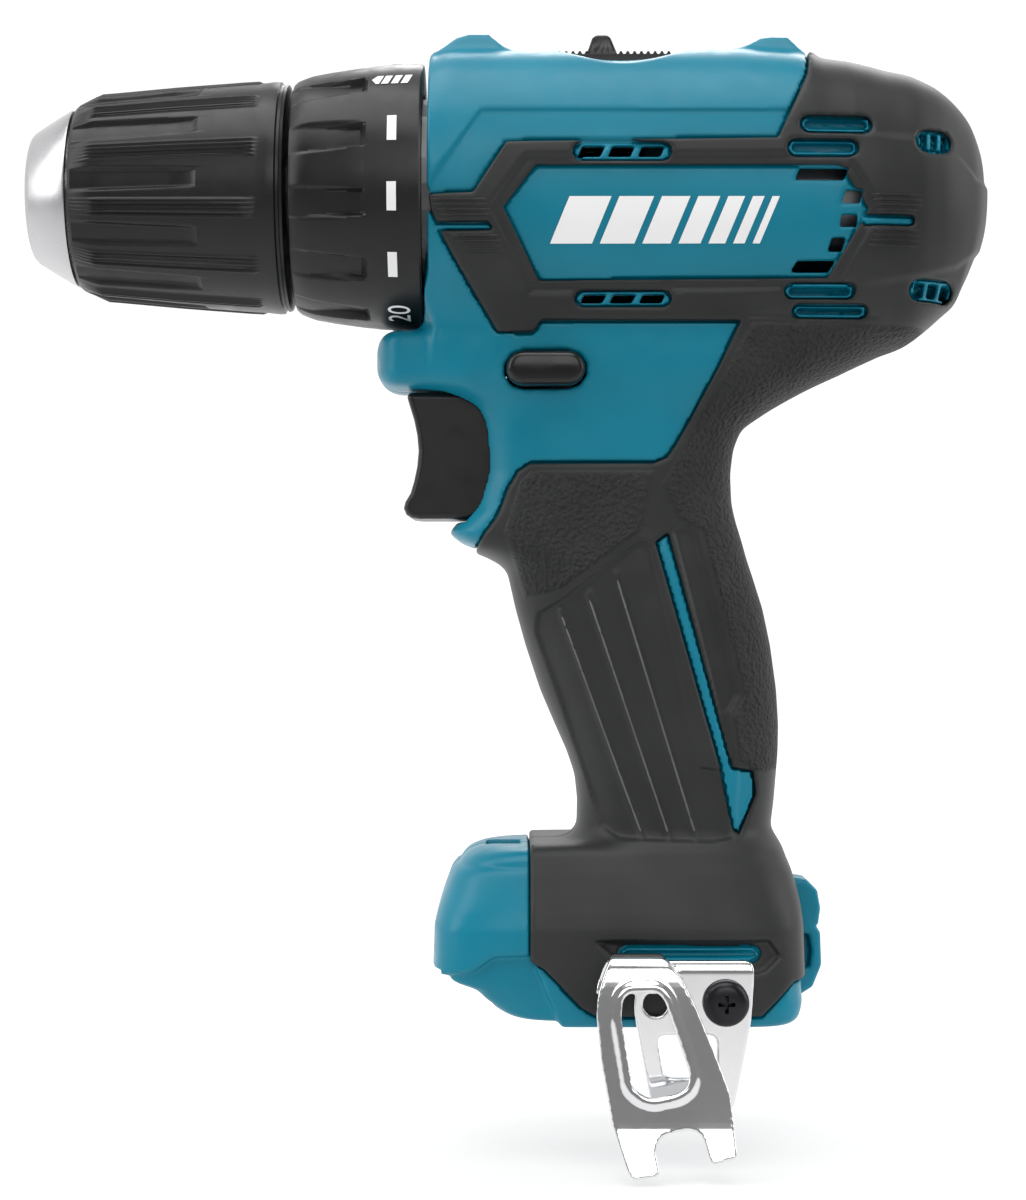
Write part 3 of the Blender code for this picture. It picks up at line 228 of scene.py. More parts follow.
GRIP = (
    (-60.0, 90.2), (-33.6, 90.2), (-30.8, 94.9), (-28.5, 98.1), (-26.3, 103.7), (-24.4, 106.8),
    (-22.0, 108.2), (1.7, 108.2), (4.4, 109.3), (6.3, 112.1), (9.2, 117.2), (14.2, 126.6),
    (18.3, 135.3), (-19.9, 135.4), (-21.3, 133.2), (-28.4, 133.3), (-36.9, 147.3), (-39.2, 151.4),
    (-41.2, 156.0), (-41.6, 158.8), (-33.0, 159.2), (-26.7, 168.8), (24.9, 169.6), (31.0, 182.6),
    (35.0, 199.0), (80.0, 199.0), (80.0, 100.0), (50.0, 60.0), (50.0, 8.5), (28.6, 8.5), (22.0, 2.2),
    (-9.4, 2.2), (-12.5, 3.9), (-16.7, 8.3), (-19.7, 11.3), (-22.2, 12.6), (-22.2, 36.5), (-60.0, 36.5),
)
PANEL = ((-21.0, 164.1), (36.8, 164.2), (42.1, 156.0), (34.8, 143.5), (-20.3, 143.1), (-27.1, 156.3))
BAND_INSIDE = ((-23.0, 166.0), (38.0, 166.4), (44.6, 156.0), (36.4, 141.4), (-22.0, 140.8), (-30.0, 156.3))
LEDGE = ((-31.5, 175.1), (27.6, 175.1), (24.0, 168.0), (-26.0, 167.0), (-33.0, 158.0), (-41.9, 159.0),
         (-40.6, 162.2))
LEFT_SLOT = ((-43.0, 153.4), (-30.2, 153.4), (-29.2, 152.1), (-43.0, 152.0))
TEAL_BAR = slot_outline(41.0, 51.1, 153.0, 154.8)
HAND_PANEL = (
    (-20.4, 79.0), (-16.1, 81.6), (-9.1, 87.0), (-0.8, 93.2), (1.1, 92.2), (10.8, 49.1), (15.6, 48.6),
    (17.2, 35.6), (13.3, 34.9), (-4.7, 35.3), (-8.0, 37.5), (-11.5, 48.7), (-16.7, 64.2), (-20.8, 75.4),
)
HAND_RIDGES = (((-16.1, 79.5), (-0.4, 35.6)), ((-10.9, 83.0), (4.8, 35.6)), ((-5.5, 86.6), (10.0, 35.6)))
STRIPE = ((2.3, 92.8), (4.6, 94.5), (17.0, 49.0), (21.2, 48.2), (21.8, 43.8), (18.5, 36.3), (17.4, 36.9),
          (15.0, 48.6))
THUMB_STRIP = ((5.6, 95.0), (8.2, 96.0), (10.3, 94.4), (18.4, 63.4), (16.2, 59.6), (17.4, 51.5),
               (17.2, 49.4))
THUMB_TAB = ((18.6, 48.0), (20.6, 47.6), (21.1, 44.0), (18.6, 38.4), (18.0, 40.0))
PEBBLES_FRONT = ((-26.6, 95.0), (-23.4, 104.6), (-21.4, 106.2), (1.5, 106.2), (-0.8, 95.2), (-16.3, 84.0),
                 (-23.0, 82.4))
PEBBLES_BACK = ((4.0, 104.0), (20.6, 134.4), (70.0, 134.4), (60.0, 100.0), (40.0, 47.0), (22.6, 48.6),
                (18.8, 50.4), (17.6, 59.0), (20.0, 63.0), (11.8, 95.2), (7.0, 97.5))
CLIP_POCKET = ((-9.5, 16.6), (23.4, 16.6), (25.6, 13.6), (22.6, 10.8), (18.0, 10.0), (-2.0, 10.0))
CLIP_SLIT = slot_outline(-5.2, 21.6, 12.7, 15.4)
FOOT_TEAL_FACET = ((-41.5, 9.0), (-33.0, 10.6), (-29.0, 13.4), (-22.0, 13.8), (-15.0, -3.0), (-45.0, -3.0))
MIDDLE_SLOTS = ((-14.0, 4.7, 165.2, 168.5), (-13.5, 5.0, 138.1, 141.0))
REAR_SLOTS = ((29.2, 43.0, 170.5, 173.7), (26.7, 40.3, 166.0, 169.1), (26.7, 40.3, 139.5, 142.3),
              (28.4, 42.9, 136.0, 138.5))
END_SLOTS = ((51.6, 58.8, 167.1, 171.5), (51.0, 60.4, 139.6, 143.3))
WINDOWS = ((28.2, 38.6, 161.5, 163.8, 1.0), (37.2, 41.4, 157.2, 159.7, 0.8), (36.9, 40.4, 152.8, 155.1, 0.3),
           (34.7, 38.2, 148.2, 150.8, 0.8), (27.7, 36.4, 144.4, 146.6, 1.4))


# The body as a distance field

def follow(at, stations, values, soften):
    """A value along the body, joined by straight lines and then softened."""
    fine = np.arange(at.min() - 12, at.max() + 12, 0.25)
    line = np.interp(fine, stations, values)
    reach = int(4 * soften / 0.25)
    if reach:
        kernel = np.exp(-0.5 * (np.arange(-reach, reach + 1) * 0.25 / soften) ** 2)
        line = np.convolve(np.pad(line, reach, mode="edge"), kernel / kernel.sum(), mode="valid")
    return np.interp(at, fine, line).astype(np.float32)


def oval_field(a, b, power):
    """Rounded-rectangle measure that is one on the surface."""
    return (np.abs(a) ** power + np.abs(b) ** power) ** (1 / power)


def join(a, b, radius):
    """Union with a soft fillet."""
    t = np.clip(0.5 + 0.5 * (b - a) / radius, 0, 1)
    return b * (1 - t) + a * t - radius * t * (1 - t)


def meet(a, b, radius):
    """Intersection with a rounded edge."""
    return -join(-a, -b, radius)


BARREL = (
    # x, low z, high z, half width, squareness
    (-42.2, 135.2, 190.2, 26.1, 2.2), (-37.5, 134.2, 191.3, 26.45, 2.3), (20.0, 133.0, 191.6, 26.45, 2.4),
    (31.0, 132.6, 190.9, 26.4, 2.4), (35.0, 132.6, 188.9, 26.3, 2.4), (44.0, 132.4, 187.9, 25.8, 2.35),
    (52.8, 133.4, 186.4, 24.2, 2.3),
    (58.0, 136.4, 184.2, 21.8, 2.25), (61.5, 139.6, 181.6, 19.4, 2.2), (65.1, 144.4, 177.8, 15.8, 2.15),
    (67.0, 148.6, 174.2, 12.0, 2.1), (68.2, 154.6, 168.4, 6.0, 2.0),
)
KEEL = (
    (-41.5, 122.7, 150.0, 15.6, 3.6), (-20.0, 120.4, 152.0, 17.4, 3.4), (12.0, 117.0, 152.0, 18.2, 3.0),
    (21.0, 117.6, 152.0, 18.4, 2.9), (25.6, 120.7, 152.0, 18.2, 2.8), (31.4, 123.3, 152.0, 18.0, 2.8),
    (44.8, 128.5, 154.0, 16.6, 2.7), (54.0, 132.4, 156.0, 15.0, 2.6), (61.8, 140.6, 158.0, 11.0, 2.5),
)
NOSE = ((-53.3, 122.3, 135.6, 13.6, 4.5), (-38.0, 122.0, 135.6, 15.6, 4.5), (-30.0, 122.0, 135.6, 16.2, 4.5))
HANDLE = (
    # z, front x, rear x, half width, squareness
    (26.0, -13.0, 26.6, 16.6, 2.6), (33.8, -13.4, 25.9, 16.6, 2.6), (37.2, -12.7, 25.9, 16.6, 2.6),
    (42.0, -12.6, 26.5, 16.7, 2.6), (46.8, -13.1, 26.9, 16.8, 2.6), (51.6, -14.7, 27.3, 16.8, 2.6),
    (57.0, -17.1, 27.4, 16.8, 2.6), (63.8, -20.0, 27.0, 16.8, 2.6), (72.6, -22.9, 25.8, 16.8, 2.6),
    (79.8, -24.9, 24.3, 16.8, 2.6), (87.0, -26.5, 22.0, 16.7, 2.7), (88.6, -27.8, 21.4, 16.6, 2.9),
    (90.4, -31.2, 20.8, 16.5, 3.1), (92.2, -36.4, 20.3, 16.4, 3.3), (94.8, -39.2, 19.5, 16.2, 3.5),
    (97.0, -37.6, 18.8, 16.2, 3.4), (100.7, -34.6, 18.0, 16.2, 3.2), (106.6, -33.1, 17.8, 16.4, 3.0),
    (111.4, -33.1, 18.4, 16.6, 3.0), (116.0, -33.6, 20.2, 16.9, 3.0), (119.0, -35.1, 24.0, 17.2, 3.0),
    (121.8, -38.4, 28.0, 17.5, 3.0), (126.0, -41.0, 33.0, 17.9, 3.0), (140.0, -41.0, 38.0, 19.0, 3.0),
)
FOOT = (
    (-1.0, -26.6, 29.8, 24.6, 7.0), (1.6, -30.4, 31.2, 25.2, 6.6), (4.0, -34.0, 31.8, 25.2, 6.4),
    (6.2, -37.2, 31.6, 25.2, 6.2), (7.7, -41.0, 31.5, 25.1, 6.2), (9.4, -42.0, 31.5, 25.0, 6.0),
    (18.6, -41.7, 31.3, 24.8, 5.6), (22.0, -40.8, 31.0, 24.0, 5.2), (24.8, -39.9, 30.5, 22.8, 4.8),
    (28.9, -38.4, 29.4, 20.8, 4.4), (32.6, -35.0, 27.6, 18.8, 4.0), (34.8, -31.6, 26.6, 17.4, 3.8),
)
HUMPS = (
    ((-41.6, 180.0), (-41.6, 189.6), (-37.0, 193.4), (-34.4, 194.3), (-29.9, 194.3), (-25.6, 190.4),
     (-24.0, 180.0)),
    ((16.0, 180.0), (17.6, 190.2), (23.2, 193.4), (25.6, 193.8), (29.2, 193.7), (33.6, 188.6),
     (34.0, 180.0)),
)


class Body:
    """Grid and fields for one side of the body, seen as x, outward v and z."""

    def __init__(self):
        self.low = (-54.0, -1.0, -1.5)
        self.x = np.arange(self.low[0], 70.0, CELL, dtype=np.float32)[:, None, None]
        self.v = np.arange(self.low[1], 29.5, CELL, dtype=np.float32)[None, :, None]
        self.z = np.arange(self.low[2], 196.5, CELL, dtype=np.float32)[None, None, :]
        self.base = self.settle(self.outside())

    def along_x(self, stations, soften):
        table = np.array(stations)
        columns = [follow(self.x.ravel(), table[:, 0], table[:, i], soften) for i in range(1, 5)]
        low, high, width, power = [c[:, None, None] for c in columns]
        half = 0.5 * (high - low)
        measure = oval_field(self.v / width, (self.z - 0.5 * (low + high)) / half, power)
        return (measure - 1) * np.minimum(width, half)

    def along_z(self, stations, soften):
        table = np.array(stations)
        columns = [follow(self.z.ravel(), table[:, 0], table[:, i], soften) for i in range(1, 5)]
        front, rear, width, power = [c[None, None, :] for c in columns]
        half = 0.5 * (rear - front)
        measure = oval_field((self.x - 0.5 * (front + rear)) / half, self.v / width, power)
        return (measure - 1) * np.minimum(width, half)

    def outside(self):
        barrel = self.along_x(BARREL, 1.1)
        barrel = meet(barrel, np.maximum(BARREL_FRONT - self.x, self.x - BARREL_REAR), 1.0)
        for outline in HUMPS:
            hump = outline_distance(self.x, self.z, outline)
            side = np.abs(self.v) - 9.0 + 0.55 * (self.z - 190.0)
            barrel = join(barrel, meet(hump, side, 1.2), 1.2)
        keel = self.along_x(KEEL, 2.2)
        keel = meet(keel, np.maximum(-41.5 - self.x, self.x - 62.0), 1.5)
        body = join(barrel, keel, 5.0)
        nose = self.along_x(NOSE, 0.5)
        nose = meet(nose, np.maximum(-53.3 - self.x, self.x + 30.0), 6.0)
        body = join(body, nose, 1.2)
        handle = self.along_z(HANDLE, 0.7)
        handle = meet(handle, np.maximum(26.0 - self.z, self.z - 138.0), 1.0)
        body = join(body, handle, 4.0)
        foot = self.along_z(FOOT, 0.6)
        foot = meet(foot, np.maximum(-0.9 - self.z, self.z - 34.3), 2.2)
        return join(body, foot, 3.5)

    def settle(self, field):
        """Scale so the value near the surface is a true distance."""
        slopes = np.gradient(field.astype(np.float32), CELL)
        size = np.sqrt(slopes[0] ** 2 + slopes[1] ** 2 + slopes[2] ** 2)
        return field / np.maximum(size, 0.35)

    def box(self, low, high):
        field = -np.inf
        for grid, start, end in zip((self.x, self.v, self.z), low, high):
            field = np.maximum(field, np.maximum(start - grid, grid - end))
        return field

    def flat(self, outline):
        return outline_distance(self.x, self.z, outline)

    def bore(self, x, z, radius):
        return np.hypot(self.x - x, self.z - z) - radius


def slots_flat(body, shapes):
    """Plane distance to the nearest of some round-ended slots."""
    field = np.inf
    for corners in shapes:
        field = np.minimum(field, body.flat(slot_outline(*corners)))
    return field


def rubber_area(body):
    """Plane distance to the rubber, negative where it lies."""
    holes = np.minimum(body.flat(PANEL), body.flat(STRIPE))
    for other in (body.flat(LEFT_SLOT), body.flat(TEAL_BAR), body.flat(CLIP_SLIT)):
        holes = np.minimum(holes, other)
    for group in (MIDDLE_SLOTS, REAR_SLOTS, END_SLOTS):
        holes = np.minimum(holes, slots_flat(body, group))
    return np.maximum(body.flat(GRIP), -holes)


def rubber_relief(body):
    """How far the rubber stands in from the outermost skin, by x and z."""
    x = body.x
    z = body.z
    relief = 0.75 * ramp(body.flat(BAND_INSIDE), 1.2)
    side_only = np.clip((body.v - 7.0) / 4.0, 0, 1)
    relief = np.maximum(relief, 0.85 * side_only * ramp(body.flat(HAND_PANEL), 0.9))
    relief = np.maximum(relief, 0.8 * side_only * ramp(body.flat(THUMB_STRIP), 0.9))
    for start, end in HAND_RIDGES:
        relief = relief - 0.5 * np.exp(-(line_distance(x, z, start, end) / 0.5) ** 2)
    upper = np.array([(36.0, 169.9), (43.5, 170.3), (53.0, 169.8), (60.0, 167.2), (64.5, 163.0)])
    lower = np.array([(36.0, 141.5), (43.5, 142.3), (54.0, 144.1), (60.5, 146.0), (66.0, 150.0)])
    above = z - np.interp(x, upper[:, 0], upper[:, 1])
    below = np.interp(x, lower[:, 0], lower[:, 1]) - z
    outer = np.maximum(above, below)
    rear = np.clip((x - 40.0) / 8.0, 0, 1)
    relief = relief + 0.7 * rear * ramp(-outer, 1.6)
    relief = relief + 1.4 * ramp(body.flat(CLIP_POCKET), 1.2)
    ends = np.clip((x - 18.0) / 2.0, 0, 1) * np.clip((46.0 - x) / 2.0, 0, 1)
    return relief + 0.35 * np.exp(-((z - 136.4) / 0.4) ** 2) * ends


def shell_relief(body):
    """How far the teal shell stands in from the outermost skin."""
    relief = SHELL_SINK + 0.75 * ramp(body.flat(PANEL), 0.8)
    relief = relief + 0.55 * ramp(body.flat(LEDGE), 0.7)
    relief = relief - 0.35 * ramp(body.flat(STRIPE), 0.6) + 0.3 * ramp(body.flat(THUMB_TAB), 0.7)
    relief = relief + 1.3 * ramp(body.flat(FOOT_TEAL_FACET), 0.8)
    fillet = np.exp(-((body.z - 30.0) / 0.5) ** 2) * (body.x < -22.0) * (body.x > -36.0)
    return relief + 0.25 * fillet


def through(body, outline, start=12.0):
    """An opening seen from the side, cut from some way out to the outside."""
    return np.maximum(body.flat(outline), start - body.v)


def shell_holes(body):
    """Openings cut through the shell, as one field."""
    field = np.hypot(body.v, body.z - AXIS_Z) - 20.0
    field = np.maximum(field, body.x + 36.0)
    shapes = [
        body.box((-60.0, -5.0, 97.0), (-26.0, 9.4, 122.7)),
        body.box((-24.0 - 6.6, -5.0, 26.0), (-24.0, 4.2, 45.0)),
        body.box((-60.0, -5.0, -5.0), (23.0, 16.8, 4.2)),
        body.box((-60.0, -5.0, 4.0), (23.0, 19.2, 10.4)),
    ]
    shapes.append(through(body, slot_outline(-27.2, -11.0, 122.5, 129.9)))
    shapes += speed_scoop(body)
    for x_low, x_high, z_low, z_high, lean in WINDOWS:
        shapes.append(through(body, leaning(x_low, x_high, z_low, z_high, lean)))
    for x_low, x_high, z_low, z_high in MIDDLE_SLOTS:
        for k in range(3):
            start = x_low + 0.9 + k * 5.7
            shapes.append(through(body, leaning(start, start + 5.2, z_low + 0.6, z_high - 0.6, 0.9)))
    for x_low, x_high, z_low, z_high in REAR_SLOTS:
        opening = body.flat(slot_outline(x_low + 0.8, x_high - 0.8, z_low + 0.7, z_high - 0.6))
        shapes.append(np.maximum(opening, -3.3 - body.base))
    for x_low, x_high, z_low, z_high in END_SLOTS:
        pitch = (x_high - x_low - 0.8) / 3
        for k in range(3):
            start = x_low + 0.7 + k * pitch
            opening = body.flat(leaning(start, start + pitch - 0.5, z_low + 0.5, z_high - 0.5, 0.3))
            shapes.append(np.maximum(opening, -3.5 - body.base))
    shapes.append(through(body, slot_outline(-4.4, 20.8, 13.4, 14.7), 22.4))
    for shape in shapes:
        field = np.minimum(field, shape)
    return field


def speed_scoop(body):
    """The dished finger scoop on top, and the round-ended way for the slide."""
    along = np.abs(body.x + 4.1)
    half_length = 15.7
    depth = (2.6 + 0.25 * np.maximum(body.v - 6.6, 0)) * (1 - (along / half_length) ** 2)
    scoop = np.maximum(np.maximum(190.7 - body.z - depth, body.v - 19.0), along - half_length)
    way = np.hypot(np.maximum(along - 9.0, 0), body.v) - 7.0
    return [scoop, np.maximum(way, 181.0 - body.z)]


def strap_loop(body):
    """Two rounded rings behind the foot for a wrist strap."""
    upper = ((28.0, 26.6), (32.6, 26.0), (34.8, 23.8), (35.4, 20.4), (35.0, 17.4), (28.0, 18.2))
    lower = ((28.0, 19.0), (33.6, 18.4), (35.4, 15.4), (35.6, 9.2), (33.9, 5.0), (31.4, 3.4), (28.0, 3.4))
    ring = np.minimum(body.flat(upper), body.flat(lower)) - 0.3
    field = meet(ring, np.abs(body.v) - 4.2, 1.2)
    hole = through(body, ((31.6, 15.6), (33.2, 15.2), (33.8, 12.0), (33.4, 8.8), (31.6, 8.2)), 1.2)
    return meet(field, -hole, 0.6)


def surface_net(field, low, cell):
    """Quads on the zero surface of a field on a regular grid."""
    inside = field < 0
    corners = np.zeros(tuple(n - 1 for n in field.shape), np.uint8)
    for dx in (0, 1):
        for dy in (0, 1):
            for dz in (0, 1):
                shifted = inside[dx:, dy:, dz:]
                corners += shifted[:corners.shape[0], :corners.shape[1], :corners.shape[2]]
    cells = np.argwhere((corners > 0) & (corners < 8))
    number = np.full(corners.shape, -1, np.int32)
    number[tuple(cells.T)] = np.arange(len(cells))
    total = np.zeros((len(cells), 3))
    hits = np.zeros(len(cells))
    for axis in range(3):
        others = [a for a in range(3) if a != axis]
        for first in (0, 1):
            for second in (0, 1):
                start = cells.copy()
                start[:, others[0]] += first
                start[:, others[1]] += second
                end = start.copy()
                end[:, axis] += 1
                a = field[tuple(start.T)].astype(np.float64)
                b = field[tuple(end.T)].astype(np.float64)
                crosses = (a < 0) != (b < 0)
                t = np.where(crosses, a / np.where(crosses, a - b, 1), 0)
                total[:, axis] += t
                total[:, others[0]] += crosses * first
                total[:, others[1]] += crosses * second
                hits += crosses
    points = (cells + total / hits[:, None]) * cell + np.array(low)
    faces = []
    for axis in range(3):
        others = [a for a in range(3) if a != axis]
        ahead = [slice(None)] * 3
        behind = [slice(None)] * 3
        ahead[axis] = slice(1, None)
        behind[axis] = slice(0, -1)
        change = inside[tuple(behind)].astype(np.int8) - inside[tuple(ahead)].astype(np.int8)
        edges = np.argwhere(change != 0)
        keep = np.all(edges[:, others] > 0, axis=1)
        for other in others:
            keep &= edges[:, other] < field.shape[other] - 1
        edges = edges[keep]
        sign = change[tuple(edges.T)]
        ring = []
        for first, second in ((1, 1), (0, 1), (0, 0), (1, 0)):
            cell = edges.copy()
            cell[:, others[0]] -= first
            cell[:, others[1]] -= second
            ring.append(number[tuple(cell.T)])
        quads = np.stack(ring, axis=1)
        flip = (sign > 0) if axis != 1 else (sign < 0)
        quads[flip] = quads[flip][:, ::-1]
        faces.append(quads)
    return points, np.concatenate(faces)


def side_mesh(name, field, low, side):
    """Mesh one side's field; side -1 is the left, 1 the right."""
    points, quads = surface_net(field, low, CELL)
    points[:, 1] *= side
    if side > 0:
        quads = quads[:, ::-1]
    mesh = mesh_from_arrays(name, points, quads)
    mesh.shade_smooth()
    return link(name, mesh)


def surface_out(body, field, x, z):
    """How far out the side surface is at a point, in millimetres."""
    i = int(round((x - body.low[0]) / CELL))
    k = int(round((z - body.low[2]) / CELL))
    column = field[i, :, k]
    solid = np.nonzero(column < 0)[0]
    if not len(solid):
        column = body.base[i, :, k] + SHELL_SINK
        solid = np.nonzero(column < 0)[0]
    j = solid[-1]
    if j + 1 >= len(column):
        return float(body.v.ravel()[j])
    t = column[j] / (column[j] - column[j + 1])
    return float(body.v.ravel()[j] + t * CELL)


# Materials

def new_material(name, colour, roughness, metallic=0.0):
    made = bpy.data.materials.new(name)
    made.use_nodes = True
    shader = made.node_tree.nodes["Principled BSDF"]
    shader.inputs["Base Color"].default_value = (*colour, 1.0)
    shader.inputs["Roughness"].default_value = roughness
    shader.inputs["Metallic"].default_value = metallic
    return made, made.node_tree, shader


def node(tree, kind, **settings):
    made = tree.nodes.new(kind)
    for key, value in settings.items():
        setattr(made, key, value)
    return made


def noise(tree, place, scale, detail=4.0):
    made = node(tree, "ShaderNodeTexNoise")
    made.inputs["Scale"].default_value = scale
    made.inputs["Detail"].default_value = detail
    tree.links.new(place, made.inputs["Vector"])
    return made.outputs["Fac"]


def remap(tree, source, low, high, to_low, to_high):
    made = node(tree, "ShaderNodeMapRange")
    made.inputs["From Min"].default_value = low
    made.inputs["From Max"].default_value = high
    made.inputs["To Min"].default_value = to_low
    made.inputs["To Max"].default_value = to_high
    tree.links.new(source, made.inputs["Value"])
    return made.outputs["Result"]


def mix_colour(tree, factor, first, second):
    made = node(tree, "ShaderNodeMix", data_type="RGBA")
    made.inputs["A"].default_value = (*first, 1.0)
    made.inputs["B"].default_value = (*second, 1.0)
    tree.links.new(factor, made.inputs["Factor"])
    return made.outputs["Result"]


def bump(tree, shader, height, strength, distance, before=None):
    made = node(tree, "ShaderNodeBump")
    made.inputs["Strength"].default_value = strength
    made.inputs["Distance"].default_value = distance * MM
    tree.links.new(height, made.inputs["Height"])
    if before:
        tree.links.new(before.outputs["Normal"], made.inputs["Normal"])
    tree.links.new(made.outputs["Normal"], shader.inputs["Normal"])
    return made


def object_place(tree):
    return node(tree, "ShaderNodeTexCoord").outputs["Object"]


def cloudy(tree, shader, place, scale, darker, lighter):
    """Drift between two shades in soft clouds."""
    cloud = remap(tree, noise(tree, place, scale, 3.0), 0.35, 0.65, 0.0, 1.0)
    tree.links.new(mix_colour(tree, cloud, darker, lighter), shader.inputs["Base Color"])


def uneven(tree, shader, source, low, high):
    """Roughness that wanders with a noise."""
    tree.links.new(remap(tree, source, 0.3, 0.7, low, high), shader.inputs["Roughness"])


def plastic(name, colour, roughness, grain=0.5, grain_depth=0.012, mottle=0.12, shine=0.5):
    """Moulded plastic: fine spark texture, slight mottling and handling marks."""
    made, tree, shader = new_material(name, colour, roughness)
    shader.inputs["Specular IOR Level"].default_value = shine
    place = object_place(tree)
    darker = [c * (1 - mottle) for c in colour]
    lighter = [min(1.0, c * (1 + mottle) + 0.001) for c in colour]
    cloudy(tree, shader, place, 45.0, darker, lighter)
    uneven(tree, shader, noise(tree, place, 260.0, 5.0), roughness - 0.06, roughness + 0.08)
    bump(tree, shader, noise(tree, place, 2600.0, 2.0), grain, grain_depth)
    return made


def rubber(name):
    """Soft overmould, pebbled where the mesh's pebbles attribute is one."""
    made, tree, shader = new_material(name, (0.012, 0.012, 0.0125), 0.5)
    shader.inputs["Specular IOR Level"].default_value = 0.34
    place = object_place(tree)
    mask = node(tree, "ShaderNodeAttribute", attribute_name="pebbles").outputs["Fac"]
    cells = node(tree, "ShaderNodeTexVoronoi", feature="SMOOTH_F1")
    cells.inputs["Scale"].default_value = 1250.0
    tree.links.new(place, cells.inputs["Vector"])
    lumpy = node(tree, "ShaderNodeMath", operation="ADD")
    tree.links.new(cells.outputs["Distance"], lumpy.inputs[0])
    tree.links.new(noise(tree, place, 1400.0, 3.0), lumpy.inputs[1])
    masked = node(tree, "ShaderNodeMath", operation="MULTIPLY")
    tree.links.new(lumpy.outputs[0], masked.inputs[0])
    tree.links.new(mask, masked.inputs[1])
    under = bump(tree, shader, noise(tree, place, 2400.0, 2.0), 0.35, 0.012)
    bump(tree, shader, masked.outputs[0], 1.0, 0.8, under)
    cloudy(tree, shader, place, 60.0, (0.014, 0.0145, 0.015), (0.022, 0.0225, 0.023))
    tree.links.new(remap(tree, mask, 0.0, 1.0, 0.46, 0.62), shader.inputs["Roughness"])
    return made


def metal(name, colour, roughness, scale=900.0, stretch=(1.0, 1.0, 1.0), depth=0.006, spread=0.08):
    """Turned, ground or plated metal with fine marks along one direction."""
    made, tree, shader = new_material(name, colour, roughness, 1.0)
    place = object_place(tree)
    stretched = node(tree, "ShaderNodeMapping")
    stretched.inputs["Scale"].default_value = stretch
    tree.links.new(place, stretched.inputs["Vector"])
    marks = noise(tree, stretched.outputs["Vector"], scale, 3.0)
    uneven(tree, shader, noise(tree, place, 90.0), max(roughness - spread, 0.02), roughness + spread)
    darker = [c * 0.9 for c in colour]
    tree.links.new(mix_colour(tree, marks, darker, colour), shader.inputs["Base Color"])
    bump(tree, shader, marks, 0.4, depth)
    return made


def clear_plastic(name):
    """Clear lens with a faint ripple."""
    made, tree, shader = new_material(name, (0.9, 0.93, 0.95), 0.08)
    bump(tree, shader, noise(tree, object_place(tree), 700.0, 2.0), 0.3, 0.02)
    shader.inputs["Transmission Weight"].default_value = 0.6
    return made


def make_materials():
    return {
        "teal": plastic("teal_shell", (0.0, 0.185, 0.275), 0.34, 0.35, 0.01, 0.05, 0.3),
        "rubber": rubber("black_rubber"),
        # lighter grey for the hand panel ridge tops: a painted highlight along each ridge
        "ridge_highlight": plastic("ridge_highlight_rubber", (0.11, 0.11, 0.112), 0.42, 0.3, 0.01, 0.3, 0.4),
        "black": plastic("black_nylon", (0.007, 0.007, 0.0075), 0.34, 0.4, 0.014, 0.15, 0.36),
        "gloss_black": plastic("black_lever", (0.006, 0.006, 0.006), 0.2, 0.2, 0.008, 0.1, 0.4),
        "white": plastic("white_nylon", (0.75, 0.75, 0.73), 0.5),
        "print": plastic("white_print", (0.9, 0.9, 0.9), 0.45, 0.2, 0.008, 0.02),
        "nose": metal("turned_nose", (0.52, 0.52, 0.53), 0.27, 700.0, (30.0, 1.0, 1.0), 0.01),
        "chrome": metal("plated_clip", (0.84, 0.84, 0.85), 0.08, 300.0, (1.0, 1.0, 1.0), 0.002, 0.03),
        "steel": metal("ground_steel", (0.5, 0.5, 0.52), 0.32, 900.0, (8.0, 1.0, 1.0)),
        "dark": metal("black_oxide", (0.035, 0.035, 0.038), 0.3, 800.0),
        "cast": metal("cast_case", (0.33, 0.33, 0.34), 0.5, 500.0, (1.0, 1.0, 1.0), 0.03),
        "copper": metal("copper_parts", (0.75, 0.4, 0.22), 0.3),
        "brass": metal("brass_parts", (0.8, 0.62, 0.28), 0.28),
        "red": plastic("red_cover", (0.45, 0.02, 0.015), 0.4),
        "lens": clear_plastic("clear_lens"),
    }


def paint(piece, made):
    piece.data.materials.clear()
    piece.data.materials.append(made)


# Round pieces

def turned(name, rings_of, angles, stations, sharp=35.0):
    """A closed band: rings_of(station, angle) gives x and radius."""
    rings = []
    for station in stations:
        ring = []
        for angle in angles:
            x, radius = rings_of(station, angle)
            ring.append((x, -radius * math.cos(angle), AXIS_Z + radius * math.sin(angle)))
        rings.append(ring)
    return loft(name, rings, closed=True, sharp=sharp)


def near(angle, centres, half):
    """How deep an angle is inside the nearest of evenly spaced bands, 0 to 1."""
    pitch = 2 * math.pi / centres[1]
    offset = (angle - centres[0] + pitch / 2) % pitch - pitch / 2
    return max(0.0, 1 - abs(offset) / half)


def step(value, low, high):
    """Nought below low, one above high and smooth between."""
    t = min(1.0, max(0.0, (value - low) / (high - low)))
    return t * t * (3 - 2 * t)


